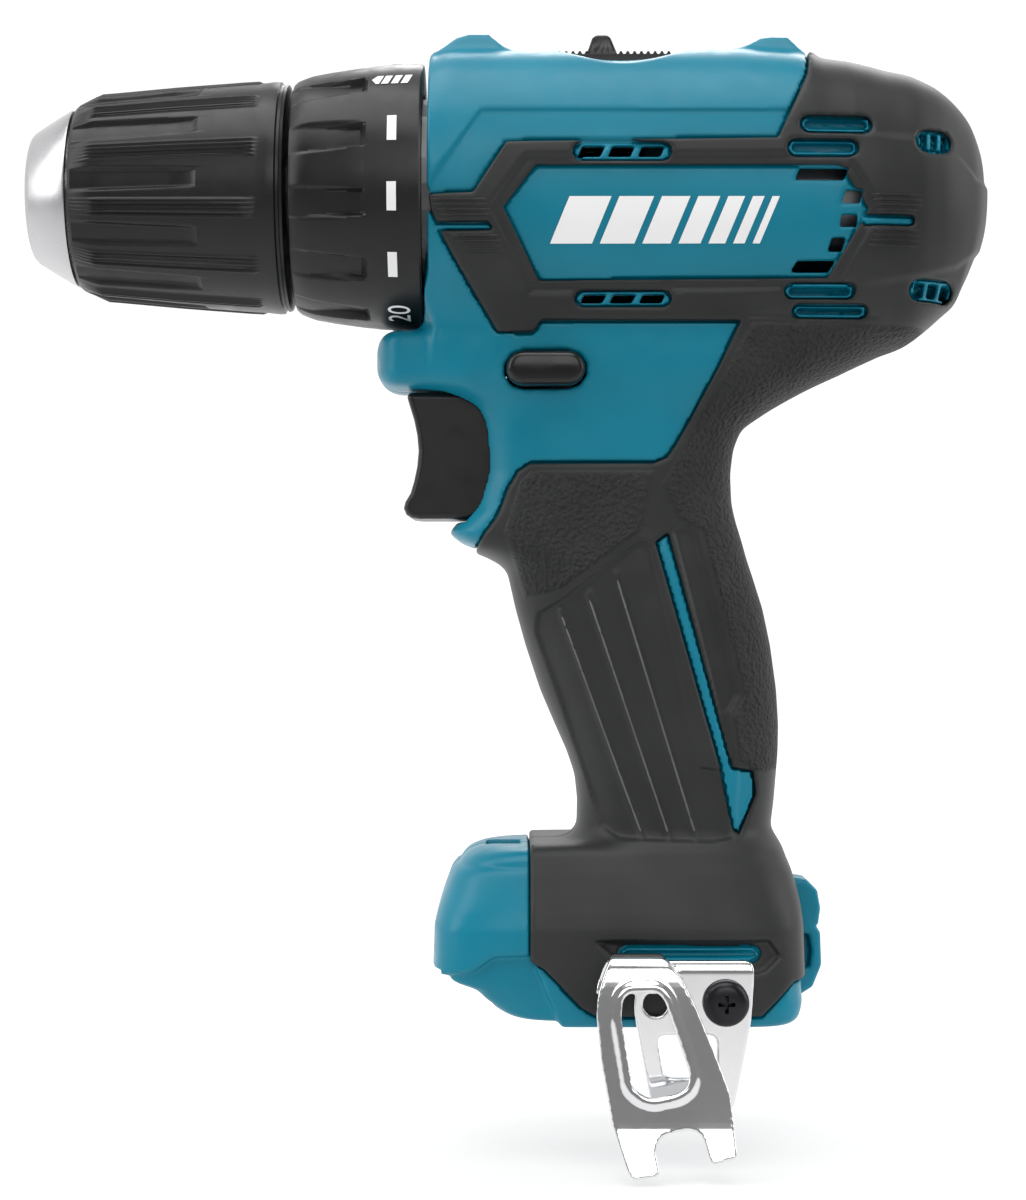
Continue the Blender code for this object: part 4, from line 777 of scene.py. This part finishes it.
def chuck_sleeve():
    """Ribbed black sleeve: tapered pockets between knurled pads."""
    pads = (math.radians(17), 12)
    pockets = (math.radians(2), 12)
    outer = [(-111.5, 18.0), (-110.9, 18.5), (-108.0, 19.7), (-106.6, 20.1), (-104.0, 20.3), (-98.0, 20.85),
             (-92.0, 21.4), (-87.4, 21.75), (-86.2, 21.85), (-84.0, 22.0), (-78.0, 22.45), (-75.6, 22.6),
             (-74.8, 22.65), (-74.2, 22.7), (-73.0, 22.85), (-72.0, 22.95), (-71.2, 22.9), (-70.9, 22.3),
             (-70.4, 22.2), (-70.2, 22.5), (-69.7, 22.3), (-69.5, 21.4)]
    inner = [(-69.5, 13.5), (-91.5, 13.5), (-91.5, 18.0), (-106.0, 18.0), (-110.0, 15.7), (-111.5, 15.7)]

    def shape(station, angle):
        x, radius = station
        if radius < 18.0 or station in inner:
            return x, radius
        along_pad = step(x, -108.6, -107.4) * (1 - step(x, -75.8, -74.6))
        pad = near(angle, pads, math.radians(5.4))
        ridge = 0.16 * math.cos((angle - pads[0]) * 360 / 2.1)
        lift = along_pad * step(pad, 0.0, 0.25) * (0.28 + ridge)
        wide = math.radians(7.4 - 1.8 * step(x, -108.0, -87.0))
        pocket = near(angle, pockets, wide)
        along_pocket = step(x, -109.4, -107.8) * (1 - step(x, -88.0, -86.2))
        sink = 0.95 * along_pocket * step(pocket, 0.0, 0.4)
        return x, radius + lift - sink

    count = 720
    angles = [2 * math.pi * k / count for k in range(count)]
    return turned("sleeve_skin", shape, angles, outer + inner, 28.0)


def chuck_nose():
    """Turned front of the chuck body."""
    profile = [(-121.0, 6.0), (-121.0, 10.3), (-120.9, 11.4), (-120.5, 12.4), (-119.8, 13.1), (-116.0, 15.5),
               (-112.6, 17.5), (-112.2, 17.6), (-112.0, 17.3), (-112.0, 15.2), (-92.5, 15.2), (-92.5, 13.0),
               (-71.6, 13.0), (-71.6, 5.9), (-87.5, 5.9), (-87.5, 6.0), (-119.0, 6.0)]
    angles = [2 * math.pi * k / 96 for k in range(96)]
    return turned("chuck_nose_skin", lambda station, angle: station, angles, profile, 30.0)


def clutch_ring():
    """Torque ring with a dozen tapered finger scoops."""
    scoops = (math.radians(19.5), 12)
    outer = [(-68.6, 21.8), (-68.4, 22.4), (-67.6, 23.1), (-66.0, 23.75), (-64.6, 24.2), (-61.0, 24.85),
             (-57.0, 25.4), (-54.6, 25.7), (-54.0, 25.75), (-53.4, 25.8), (-51.8, 26.0), (-48.0, 26.25),
             (-44.2, 26.4), (-43.4, 26.4), (-43.0, 26.1)]
    inner = [(-43.0, 20.4), (-66.4, 20.4), (-66.4, 13.6), (-68.6, 13.6)]

    def shape(station, angle):
        x, radius = station
        if station in inner:
            return x, radius
        wide = math.radians(8.0 - 2.2 * step(x, -67.0, -54.0))
        scoop = near(angle, scoops, wide)
        depth = 0.35 + 1.05 * step(x, -67.5, -56.0)
        sink = depth * step(x, -68.6, -67.2) * (1 - step(x, -54.4, -53.6)) * step(scoop, 0.0, 0.22)
        return x, radius - sink

    count = 540
    angles = [2 * math.pi * k / count for k in range(count)]
    return turned("torque_ring_skin", shape, angles, outer + inner, 28.0)


def wrap(x, arc, radius):
    """A point on the ring from a place along it and an angle."""
    return x, -radius * math.cos(arc), AXIS_Z + radius * math.sin(arc)


def mark_radius(x):
    """Just above the torque ring's slightly conical rear band."""
    return 26.16 + 0.045 * (x + 51.8)


def ring_marks():
    """White torque marks: a bit icon, dashes and two numbers."""
    points = []
    faces = []
    pitch = math.radians(29.6)
    first = math.radians(51.4)

    def patch(corners):
        start = len(points)
        points.extend(wrap(x, arc, mark_radius(x)) for x, arc in corners)
        faces.append(tuple(range(start, start + len(corners))))

    for k in range(12):
        arc = first - k * pitch
        if k == 0:
            step_x = 1.9
            tall = 0.062
            for n in range(3):
                x = -50.0 + n * step_x
                lean = 0.9
                patch([(x, arc + tall), (x + 1.35, arc + tall), (x + 1.35 - lean, arc - tall),
                       (x - lean, arc - tall)])
            patch([(-52.7, arc), (-51.6, arc + tall), (-50.4, arc + tall), (-51.3, arc - tall),
                   (-51.9, arc - tall)])
        elif k % 4:
            for low, high in ((-0.104, -0.052), (-0.052, 0.0), (0.0, 0.052), (0.052, 0.104)):
                patch([(-49.4, arc + low), (-47.6, arc + low), (-47.6, arc + high), (-49.4, arc + high)])
    for k, word in ((4, "20"), (8, "10")):
        add_number(points, faces, word, first - k * pitch)
    marks = piece_from("torque_marks", points, faces)
    face_outwards(marks)
    return marks


def face_outwards(piece):
    """Turn each loose patch round the ring to face away from its axis."""
    work = bmesh.new()
    work.from_mesh(piece.data)
    work.normal_update()
    inward = []
    for face in work.faces:
        centre = face.calc_center_median()
        if face.normal.y * centre.y + face.normal.z * (centre.z - AXIS_Z * MM) < 0:
            inward.append(face)
    bmesh.ops.reverse_faces(work, faces=inward)
    work.to_mesh(piece.data)
    work.free()


def add_number(points, faces, word, arc):
    """Digits read along the ring, wrapped round it."""
    curve = bpy.data.curves.new("digits", "FONT")
    curve.body = word
    curve.size = 6.6
    curve.align_x = "CENTER"
    curve.align_y = "CENTER"
    holder = link("digits", curve)
    bpy.context.view_layer.update()
    graph = bpy.context.evaluated_depsgraph_get()
    mesh = bpy.data.meshes.new_from_object(holder.evaluated_get(graph))
    bpy.data.objects.remove(holder, do_unlink=True)
    work = bmesh.new()
    work.from_mesh(mesh)
    bmesh.ops.triangulate(work, faces=work.faces)
    bmesh.ops.subdivide_edges(work, edges=work.edges, cuts=3, use_grid_fill=True)
    work.to_mesh(mesh)
    work.free()
    start = len(points)
    for vertex in mesh.vertices:
        x = -47.4 - vertex.co.y * 0.95
        radius = mark_radius(x)
        points.append(wrap(x, arc + vertex.co.x / radius, radius))
    for polygon in mesh.polygons:
        faces.append(tuple(start + i for i in polygon.vertices))
    bpy.data.meshes.remove(mesh)


# Controls

def extruded(name, outline, half_width, sharp):
    """An outline in x and z, pulled both ways along y."""
    rings = [[(x, side * half_width, z) for x, z in outline] for side in (-1, 1)]
    return loft(name, rings, sharp=sharp)


def prism(name, outline, half_width, edge, segments):
    """An extruded outline with rounded edges."""
    piece = extruded(name, outline, half_width, 40.0)
    bevel = piece.modifiers.new("edge", "BEVEL")
    bevel.width = edge * MM
    bevel.segments = segments
    bevel.limit_method = "ANGLE"
    bevel.angle_limit = math.radians(40.0)
    bevel.harden_normals = True
    apply_modifiers(piece)
    return piece


def arc_points(centre, radius, start, end, steps):
    points = []
    for k in range(steps + 1):
        angle = math.radians(start + (end - start) * k / steps)
        points.append((centre[0] + radius * math.cos(angle), centre[1] + radius * math.sin(angle)))
    return points


def trigger():
    """Black trigger with a hollow finger face."""
    outline = [(-46.5, 122.4)] + [(-44.0 - 2.4 * abs((z - 111.0) / 10.6) ** 1.8, z)
                                  for z in (120.0, 117.0, 114.0, 111.0, 108.0, 105.0, 102.6)]
    outline += [(-46.6, 100.9), (-46.9, 99.6), (-46.4, 98.4), (-45.2, 97.7), (-43.6, 97.5), (-27.4, 97.5),
                (-27.4, 122.4)]
    return prism("trigger_skin", outline, 9.0, 1.3, 4)


def lever():
    """Pill-shaped lever ends, their edges rounded off."""
    rings = []
    for y, grow in ((-21.4, -1.3), (-21.2, -0.6), (-20.6, -0.15), (-19.9, 0.0), (19.9, 0.0), (20.6, -0.15),
                    (21.2, -0.6), (21.4, -1.3)):
        outline = slot_outline(-26.7 - grow, -11.5 + grow, 122.9 - grow, 129.5 + grow, 10)
        rings.append([(x, y, z) for x, z in outline])
    return loft("lever_skin", rings, sharp=50.0)


def speed_selector():
    """Ribbed slide with a wedge-shaped knob."""
    pieces = []
    top = []
    x = -19.4
    while x < 5.4:
        for along, height in ((0.0, 189.4), (0.3, 189.95), (0.6, 189.95), (0.9, 189.4)):
            top.append((x + along, height))
        x += 1.35
    profile = [(-19.5, 185.4), (-19.5, 189.0)] + top + [(6.3, 189.0), (6.3, 185.4)]
    slide = extruded("speed_selector_skin", profile, 6.6, 20.0)
    knob = [(-11.4, 187.0), (-10.9, 189.6), (-9.7, 193.0), (-9.0, 193.6), (-6.6, 193.6), (-6.0, 193.0),
            (-4.6, 189.6), (-4.2, 187.0)]
    keeper = [(-19.5, 184.0), (-19.5, 185.7), (6.3, 185.7), (6.3, 184.0)]
    combine(slide, prism("knob", knob, 4.6, 0.45, 2), "UNION")
    combine(slide, prism("keeper", keeper, 8.6, 0.2, 1), "UNION")
    smooth(slide.data, 30.0)
    return slide


# Belt clip

def round_corners(outline, radius, steps=4):
    """Replace each corner of an outline with a small arc."""
    result = []
    count = len(outline)
    for i in range(count):
        before = np.array(outline[i - 1], float)
        here = np.array(outline[i], float)
        after = np.array(outline[(i + 1) % count], float)
        a = before - here
        b = after - here
        la = np.linalg.norm(a)
        lb = np.linalg.norm(b)
        reach = min(radius, 0.45 * la, 0.45 * lb)
        start = here + a / la * reach
        end = here + b / lb * reach
        for k in range(steps + 1):
            t = k / steps
            point = (1 - t) ** 2 * start + 2 * t * (1 - t) * here + t * t * end
            result.append((float(point[0]), float(point[1])))
    return result


def smooth_path(points, steps=6):
    """Points along a smooth curve through the given ones."""
    result = []
    count = len(points)
    for i in range(count - 1):
        around = [min(max(k, 0), count - 1) for k in (i - 1, i, i + 1, i + 2)]
        p0, p1, p2, p3 = (np.array(points[k], float) for k in around)
        for k in range(steps):
            t = k / steps
            point = 0.5 * (2 * p1 + (p2 - p0) * t + (2 * p0 - 5 * p1 + 4 * p2 - p3) * t * t
                           + (3 * p1 - p0 - 3 * p2 + p3) * t ** 3)
            result.append((float(point[0]), float(point[1])))
    result.append(points[-1])
    return result


def path_distance(y, z, path):
    """Distance to the nearest piece of a path."""
    best = np.inf
    for start, end in zip(path, path[1:]):
        best = np.minimum(best, line_distance(y, z, start, end))
    return best


def belt_clip():
    """Plated spring clip: a fixed plate and a springy outer leaf."""
    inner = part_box("belt_clip")[1][1] / MM
    sheet = 1.2
    low = (-12.0, inner - 17.5, -29.0)
    x = np.arange(low[0], 23.0, CLIP_CELL)[:, None, None]
    y = np.arange(low[1], inner + 1.5, CLIP_CELL)[None, :, None]
    z = np.arange(low[2], 17.5, CLIP_CELL)[None, None, :]
    plate_area = outline_distance(x, z, round_corners(
        [(-1.5, 13.2), (20.3, 13.2), (20.3, 8.8), (19.8, 1.8), (18.7, -4.1), (16.5, -14.3), (15.2, -15.3),
         (0.9, -14.6), (-2.6, 3.9), (-2.1, 9.0)], 1.8))
    opening = outline_distance(x, z, round_corners(
        [(1.9, -0.9), (13.2, -0.9), (13.0, -9.0), (3.2, -9.0)], 1.6))
    hole = np.hypot(x - 1.6, z - 5.0) - 2.3
    screw_x, screw_z = side_centre("clip_screw")
    hole = np.minimum(hole, np.hypot(x - screw_x, z - screw_z) - 2.0)
    plate_area = np.maximum(plate_area, -np.minimum(opening, hole))
    rolled = np.clip((z - 10.6) / 2.8, 0, 1) ** 2 * 0.9
    plate = meet(np.abs(y - rolled - (inner - sheet / 2)) - sheet / 2, plate_area, 0.35)
    middle = inner - sheet / 2
    path = smooth_path([(middle - out, height) for out, height in (
        (0.0, 7.4), (0.0, 10.4), (1.7, 13.4), (4.3, 14.6), (7.0, 13.4), (8.5, 8.0), (10.0, -5.0),
        (11.5, -15.0), (13.2, -21.0), (14.8, -26.0))])
    area = outline_distance(x, z, round_corners(
        [(-6.3, 16.6), (-8.4, 12.0), (-9.6, 8.2), (-9.9, 4.4), (-9.1, -4.3), (-7.0, -15.7), (-4.4, -23.5),
         (-3.4, -25.2), (1.7, -24.3), (0.8, -19.9), (1.7, -17.9), (3.6, -17.0), (7.0, -16.4), (9.0, -16.9),
         (9.9, -18.3), (11.1, -22.5), (16.0, -21.3), (15.4, -15.0), (14.7, -9.5), (12.1, -2.6), (8.6, 5.9),
         (6.3, 10.6), (3.9, 13.6), (1.2, 16.6)], 1.0))
    window = outline_distance(x, z, round_corners(
        [(-4.9, 7.4), (-3.6, 8.5), (1.3, 8.7), (2.8, 7.2), (7.4, -6.5), (6.9, -8.6), (5.2, -9.8),
         (0.5, -10.8), (-1.5, -10.1), (-3.3, -8.6), (-5.3, 3.9)], 1.2))
    emboss = 0.5 * ramp(window - 1.7, 1.2) * np.clip((-y + inner - 4.0) / 2.0, 0, 1)
    leaf = meet(path_distance(y + emboss, z, path) - sheet / 2, area, 0.35)
    front_only = np.maximum(window, y - (inner - 4.0))
    leaf = meet(leaf, -front_only, 0.35)
    points, quads = surface_net(np.minimum(plate, leaf), low, CLIP_CELL)
    mesh = mesh_from_arrays("clip_skin", points, quads)
    mesh.shade_smooth()
    return link("clip_skin", mesh)


def domed_screw():
    """Cross-head screw with a domed black head."""
    low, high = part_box("clip_screw")
    x, z = side_centre("clip_screw")
    face = low[1] / MM
    radius = 0.5 * (high[0] - low[0]) / MM
    seat = face + 2.2
    rings = []
    for y, r in ((face, 0.34), (face + 0.12, 0.62), (face + 0.42, 0.82), (face + 0.95, 0.95),
                 (face + 1.5, 1.0), (seat, 1.0), (seat, 0.37), (high[1] / MM, 0.37)):
        rings.append([(px, y, pz) for px, pz in arc_points((x, z), r * radius, 0, 350, 35)])
    screw = loft("clip_screw_skin", rings, sharp=40.0)
    for wide, tall in ((1.9, 0.42), (0.42, 1.9)):
        arm = [(x - wide, z - tall), (x + wide, z - tall), (x + wide, z + tall), (x - wide, z + tall)]
        small = [(x + (px - x) * 0.5, z + (pz - z) * 0.6) for px, pz in arm]
        cutter = loft("cross", [[(px, face - 0.6, pz) for px, pz in arm],
                                [(px, face + 1.5, pz) for px, pz in small]])
        combine(screw, cutter, "DIFFERENCE")
    smooth(screw.data, 40.0)
    return screw


# Surface trim

def raised_line(body, field, side, ends, wide, rise, points, faces):
    """Add one fine raised line lying on the side surface between two points."""
    (x_start, z_start), (x_end, z_end) = ends
    long = math.hypot(x_end - x_start, z_end - z_start)
    across = (-(z_end - z_start) / long, (x_end - x_start) / long)
    steps = max(14, int(long))
    start = len(points)
    for n in range(steps + 1):
        x = x_start + (x_end - x_start) * n / steps
        z = z_start + (z_end - z_start) * n / steps
        out = surface_out(body, field, x, z)
        taper = math.sin(math.pi * min(1.0, max(0.02, n / steps))) ** 0.3
        top = rise * taper
        for offset, lift in ((-wide, -0.12), (-0.45 * wide, top), (0.45 * wide, top), (wide, -0.12)):
            points.append((x + offset * across[0], side * (out + lift), z + offset * across[1]))
    for n in range(steps):
        a = start + 4 * n
        for c in range(3):
            faces.append((a + c, a + c + 1, a + c + 5, a + c + 4))
        faces.append((a + 3, a, a + 4, a + 7))
    faces.append((start, start + 1, start + 2, start + 3))
    last = start + 4 * steps
    faces.append((last, last + 1, last + 2, last + 3))


def hand_lines(body, rubber_field, side):
    """Three raised ridge tops down the hand panel, coloured a lighter grey as a painted highlight along each
    ridge.
    """
    points = []
    faces = []
    for start, end in HAND_RIDGES:
        ends = ((start[0] + 0.3, start[1] - 1.2), (end[0] - 0.3, end[1] + 1.2))
        raised_line(body, rubber_field, side, ends, 0.2, 0.07, points, faces)
    name = "ridge_tops_left" if side < 0 else "ridge_tops_right"
    return piece_from(name, points, faces, 60.0)


def ribs(body, rubber_field, side):
    """Fine raised lines beside the two teal bars."""
    points = []
    faces = []
    groups = (
        (((-41.2, -30.6), (-40.6, -30.0), (-39.8, -29.6), (-39.2, -29.2)), 157.6, -0.95),
        (((-37.2, -28.2), (-36.4, -27.6), (-35.6, -27.0), (-34.8, -26.6)), 150.9, -0.95),
        (((42.6, 52.2), (42.9, 52.6), (43.2, 52.6), (43.6, 52.2)), 158.6, -0.95),
        (((43.4, 52.2), (43.0, 52.4), (42.6, 52.4), (42.2, 52.2)), 152.0, -0.95),
    )
    for spans, top, pitch in groups:
        for k, (x_low, x_high) in enumerate(spans):
            z = top + pitch * k
            raised_line(body, rubber_field, side, ((x_low, z), (x_high, z)), 0.3, 0.22, points, faces)
    name = "rib_lines_left" if side < 0 else "rib_lines_right"
    return piece_from(name, points, faces, 60.0)


def emblem(body, shell_field, side):
    """A plain white flash in the panel: slanted bars, no lettering."""
    points = []
    faces = []
    bars = []
    start = -16.5
    for wide in (8.0, 6.6, 5.4, 4.2, 3.2, 2.2, 1.4):
        bars.append((start, wide))
        start += wide + 1.5
    z_low = 149.6
    z_high = 158.4
    for start_x, wide in bars:
        columns = max(2, int(wide / 1.0))
        rows = 6
        first = len(points)
        for row in range(rows + 1):
            z = z_low + (z_high - z_low) * row / rows
            shift = 0.42 * (z - 154.0)
            for column in range(columns + 1):
                x = start_x + wide * column / columns + shift
                points.append((x, side * (surface_out(body, shell_field, x, z) + PRINT_LIFT), z))
        width = columns + 1
        for row in range(rows):
            for column in range(columns):
                a = first + row * width + column
                faces.append((a, a + 1, a + width + 1, a + width))
    name = "panel_flash_left" if side < 0 else "panel_flash_right"
    mesh = bpy.data.meshes.new(name)
    mesh.from_pydata([(x * MM, y * MM, z * MM) for x, y, z in points], [],
                     faces if side < 0 else [f[::-1] for f in faces])
    mesh.shade_smooth()
    return link(name, mesh)


# Assembly

def add_pebbles(piece):
    """Mark the vertices that carry the pebbled grip texture."""
    mesh = piece.data
    count = len(mesh.vertices)
    places = np.empty(count * 3, np.float32)
    mesh.vertices.foreach_get("co", places)
    places = places.reshape(-1, 3) / MM
    x = places[:, 0]
    z = places[:, 2]
    area = np.minimum(outline_distance(x, z, PEBBLES_FRONT), outline_distance(x, z, PEBBLES_BACK))
    values = ramp(area, 1.2).astype(np.float32)
    mesh.attributes.new("pebbles", "FLOAT", "POINT").data.foreach_set("value", values)


def side_centre(name):
    """A node's middle as x and z, in millimetres."""
    low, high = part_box(name)
    return 0.5 * (low[0] + high[0]) / MM, 0.5 * (low[2] + high[2]) / MM


def screw_holes(body):
    """Round wells over the housing screws."""
    field = np.inf
    for number in range(1, 5):
        x, z = side_centre("case_screw_%d" % number)
        field = np.minimum(field, body.bore(x, z, 2.8))
    return np.maximum(field, 5.0 - body.v)


def build_body(materials):
    body = Body()
    area = rubber_area(body)
    rubber_field = meet(body.base + rubber_relief(body), area + 0.12, 0.7)
    rubber_field = np.maximum(rubber_field, -(body.base + RUBBER_THICK))
    shell_field = body.base + np.where(area > 0.2, shell_relief(body), SHELL_SINK_UNDER_RUBBER)
    shell_field = join(shell_field, strap_loop(body), 0.8)
    holes = shell_holes(body)
    shell_field = np.maximum(shell_field, -(body.base + SHELL_INSIDE))
    shell_field = meet(shell_field, -holes, 0.5)
    rubber_field = np.maximum(rubber_field, -np.minimum(holes, strap_loop(body) - 0.4))
    seam = SEAM_HALF_GAP - body.v
    shell_field = meet(shell_field, seam, 0.25)
    rubber_field = meet(rubber_field, seam, 0.25)
    screws = screw_holes(body)
    made = []
    for side, word in ((-1, "left"), (1, "right")):
        shell = shell_field
        grip = rubber_field
        if side > 0:
            shell = meet(shell, -screws, 0.3)
            grip = meet(grip, -screws, 0.3)
        shell_piece = side_mesh("body_%s" % word, shell, body.low, side)
        grip_piece = side_mesh("overmould_%s" % word, grip, body.low, side)
        add_pebbles(grip_piece)
        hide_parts("shell_%s" % word)
        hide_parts("grip_%s" % word)
        made += [
            (shell_piece, "teal", "housing_teal"),
            (grip_piece, "rubber", "rubber_black"),
            (ribs(body, rubber_field, side), "rubber", "rubber_black"),
            (emblem(body, shell_field, side), "print", "plastic_white"),
            # ridge tops in the lighter grey that paints their highlight
            (hand_lines(body, rubber_field, side), "ridge_highlight", "rubber_black"),
        ]
    for piece, material, slot in made:
        place(piece, "housing", materials[material], slot)


def place(piece, body, material, slot, *nodes):
    """Paint a piece, hang it on a body and hide the nodes it stands for."""
    paint(piece, material)
    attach(piece, body)
    if nodes:
        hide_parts(*nodes)


def dress_nodes(materials):
    """Better materials on the CAD nodes that stay."""
    kinds = (
        ("trigger_spring", "steel"), ("switch_body", "black"), ("shift_yoke", "steel"), ("gear_case", "cast"),
        ("motor_bracket", "black"), ("motor_can", "steel"), ("motor_end_cap", "black"), ("brush_", "copper"),
        ("magnet_", "dark"), ("armature_core", "steel"), ("motor_shaft", "steel"), ("commutator", "copper"),
        ("cooling_fan", "black"), ("motor_pinion", "steel"), ("ring_gear_", "steel"), ("planet_", "steel"),
        ("carrier_", "steel"), ("spindle", "steel"), ("clutch_spring", "steel"), ("clutch_plate", "steel"),
        ("chuck_screw", "steel"), ("jaw_", "steel"), ("terminal_block", "black"), ("terminal_", "brass"),
        ("lead_positive", "red"), ("lead_negative", "black"), ("led_lens", "lens"), ("case_screw_", "dark"),
    )
    for name, item in NODES.items():
        for prefix, kind in kinds:
            if name.startswith(prefix):
                for material_slot in item.material_slots:
                    material_slot.material = materials[kind]
                break


def build_stage():
    """A pale round sweep: floor, round corner and wall, with soft lights; the sweep glows with painted light,
    dim in front and bright towards the back.
    """
    floor_z = CAD_BOX[0][2] - 0.0008
    reach = 3.0
    corner = 0.8
    profile = [(0.02, floor_z), (0.4, floor_z), (1.2, floor_z), (reach - corner, floor_z)]
    for k in range(1, 13):
        angle = math.radians(90 * k / 12)
        profile.append((reach - corner + corner * math.sin(angle), floor_z + corner * (1 - math.cos(angle))))
    profile.append((reach, floor_z + 3.5))
    sides = 96
    points = []
    for radius, z in profile:
        for k in range(sides):
            angle = 2 * math.pi * k / sides
            points.append((radius * math.cos(angle), radius * math.sin(angle), z))
    faces = [tuple(range(sides))]
    for i in range(len(profile) - 1):
        for k in range(sides):
            n = (k + 1) % sides
            a = i * sides
            faces.append((a + k, a + sides + k, a + sides + n, a + n))
    mesh = bpy.data.meshes.new("floor")
    mesh.from_pydata(points, [], faces)
    mesh.shade_smooth()
    floor = link("floor", mesh)
    made, tree, shader = new_material("floor_painted_glow", (0.35, 0.35, 0.35), 0.95)
    shader.inputs["Specular IOR Level"].default_value = 0.0
    shader.inputs["Emission Color"].default_value = (1.0, 1.0, 1.0, 1.0)
    split = node(tree, "ShaderNodeSeparateXYZ")
    tree.links.new(object_place(tree), split.inputs["Vector"])
    # painted light: the floor glows, rising from dim at the front to bright at the back
    glow = remap(tree, split.outputs["Y"], -0.5, 0.15, 0.06, 0.8)
    tree.links.new(glow, shader.inputs["Emission Strength"])
    paint(floor, made)
    bpy.context.scene.view_settings.view_transform = "Standard"
    build_world()
    for light in LIGHTS:
        add_light(*light)


def build_world():
    """Dim room: brighter overhead than at the sides."""
    world = bpy.data.worlds.new("studio")
    bpy.context.scene.world = world
    world.use_nodes = True
    tree = world.node_tree
    background = tree.nodes["Background"]
    split = node(tree, "ShaderNodeSeparateXYZ")
    tree.links.new(node(tree, "ShaderNodeTexCoord").outputs["Generated"], split.inputs["Vector"])
    tree.links.new(remap(tree, split.outputs["Z"], -0.2, 0.9, 0.10, 0.5), background.inputs["Strength"])
    background.inputs["Color"].default_value = (1.0, 1.0, 1.0, 1.0)


def add_light(name, place_at, target, wide, tall, power):
    data = bpy.data.lights.new(name, "AREA")
    data.shape = "RECTANGLE"
    data.size = wide
    data.size_y = tall
    data.energy = power
    light = bpy.data.objects.new(name, data)
    bpy.context.scene.collection.objects.link(light)
    light.location = place_at
    from_to = [target[i] - place_at[i] for i in range(3)]
    distance = math.sqrt(sum(c * c for c in from_to))
    pitch = math.acos(-from_to[2] / distance)
    turn = math.atan2(from_to[1], from_to[0]) - math.pi / 2
    light.rotation_euler = (pitch, 0.0, turn)


def main():
    add_camera()
    materials = make_materials()
    build_body(materials)
    place(chuck_sleeve(), "sleeve", materials["black"], "plastic_black", "chuck_sleeve")
    place(chuck_nose(), "output", materials["nose"], "silver", "chuck_body")
    place(clutch_ring(), "torque_ring", materials["black"], "plastic_black", "clutch_ring")
    place(ring_marks(), "torque_ring", materials["print"], "plastic_white")
    place(trigger(), "trigger_piece", materials["black"], "plastic_black", "trigger")
    place(lever(), "lever", materials["gloss_black"], "plastic_black", "direction_lever")
    place(speed_selector(), "speed_selector", materials["black"], "plastic_black", "speed_knob")
    place(belt_clip(), "housing", materials["chrome"], "chrome", "belt_clip")
    place(domed_screw(), "housing", materials["dark"], "dark_steel", "clip_screw")
    dress_nodes(materials)
    build_stage()


main()
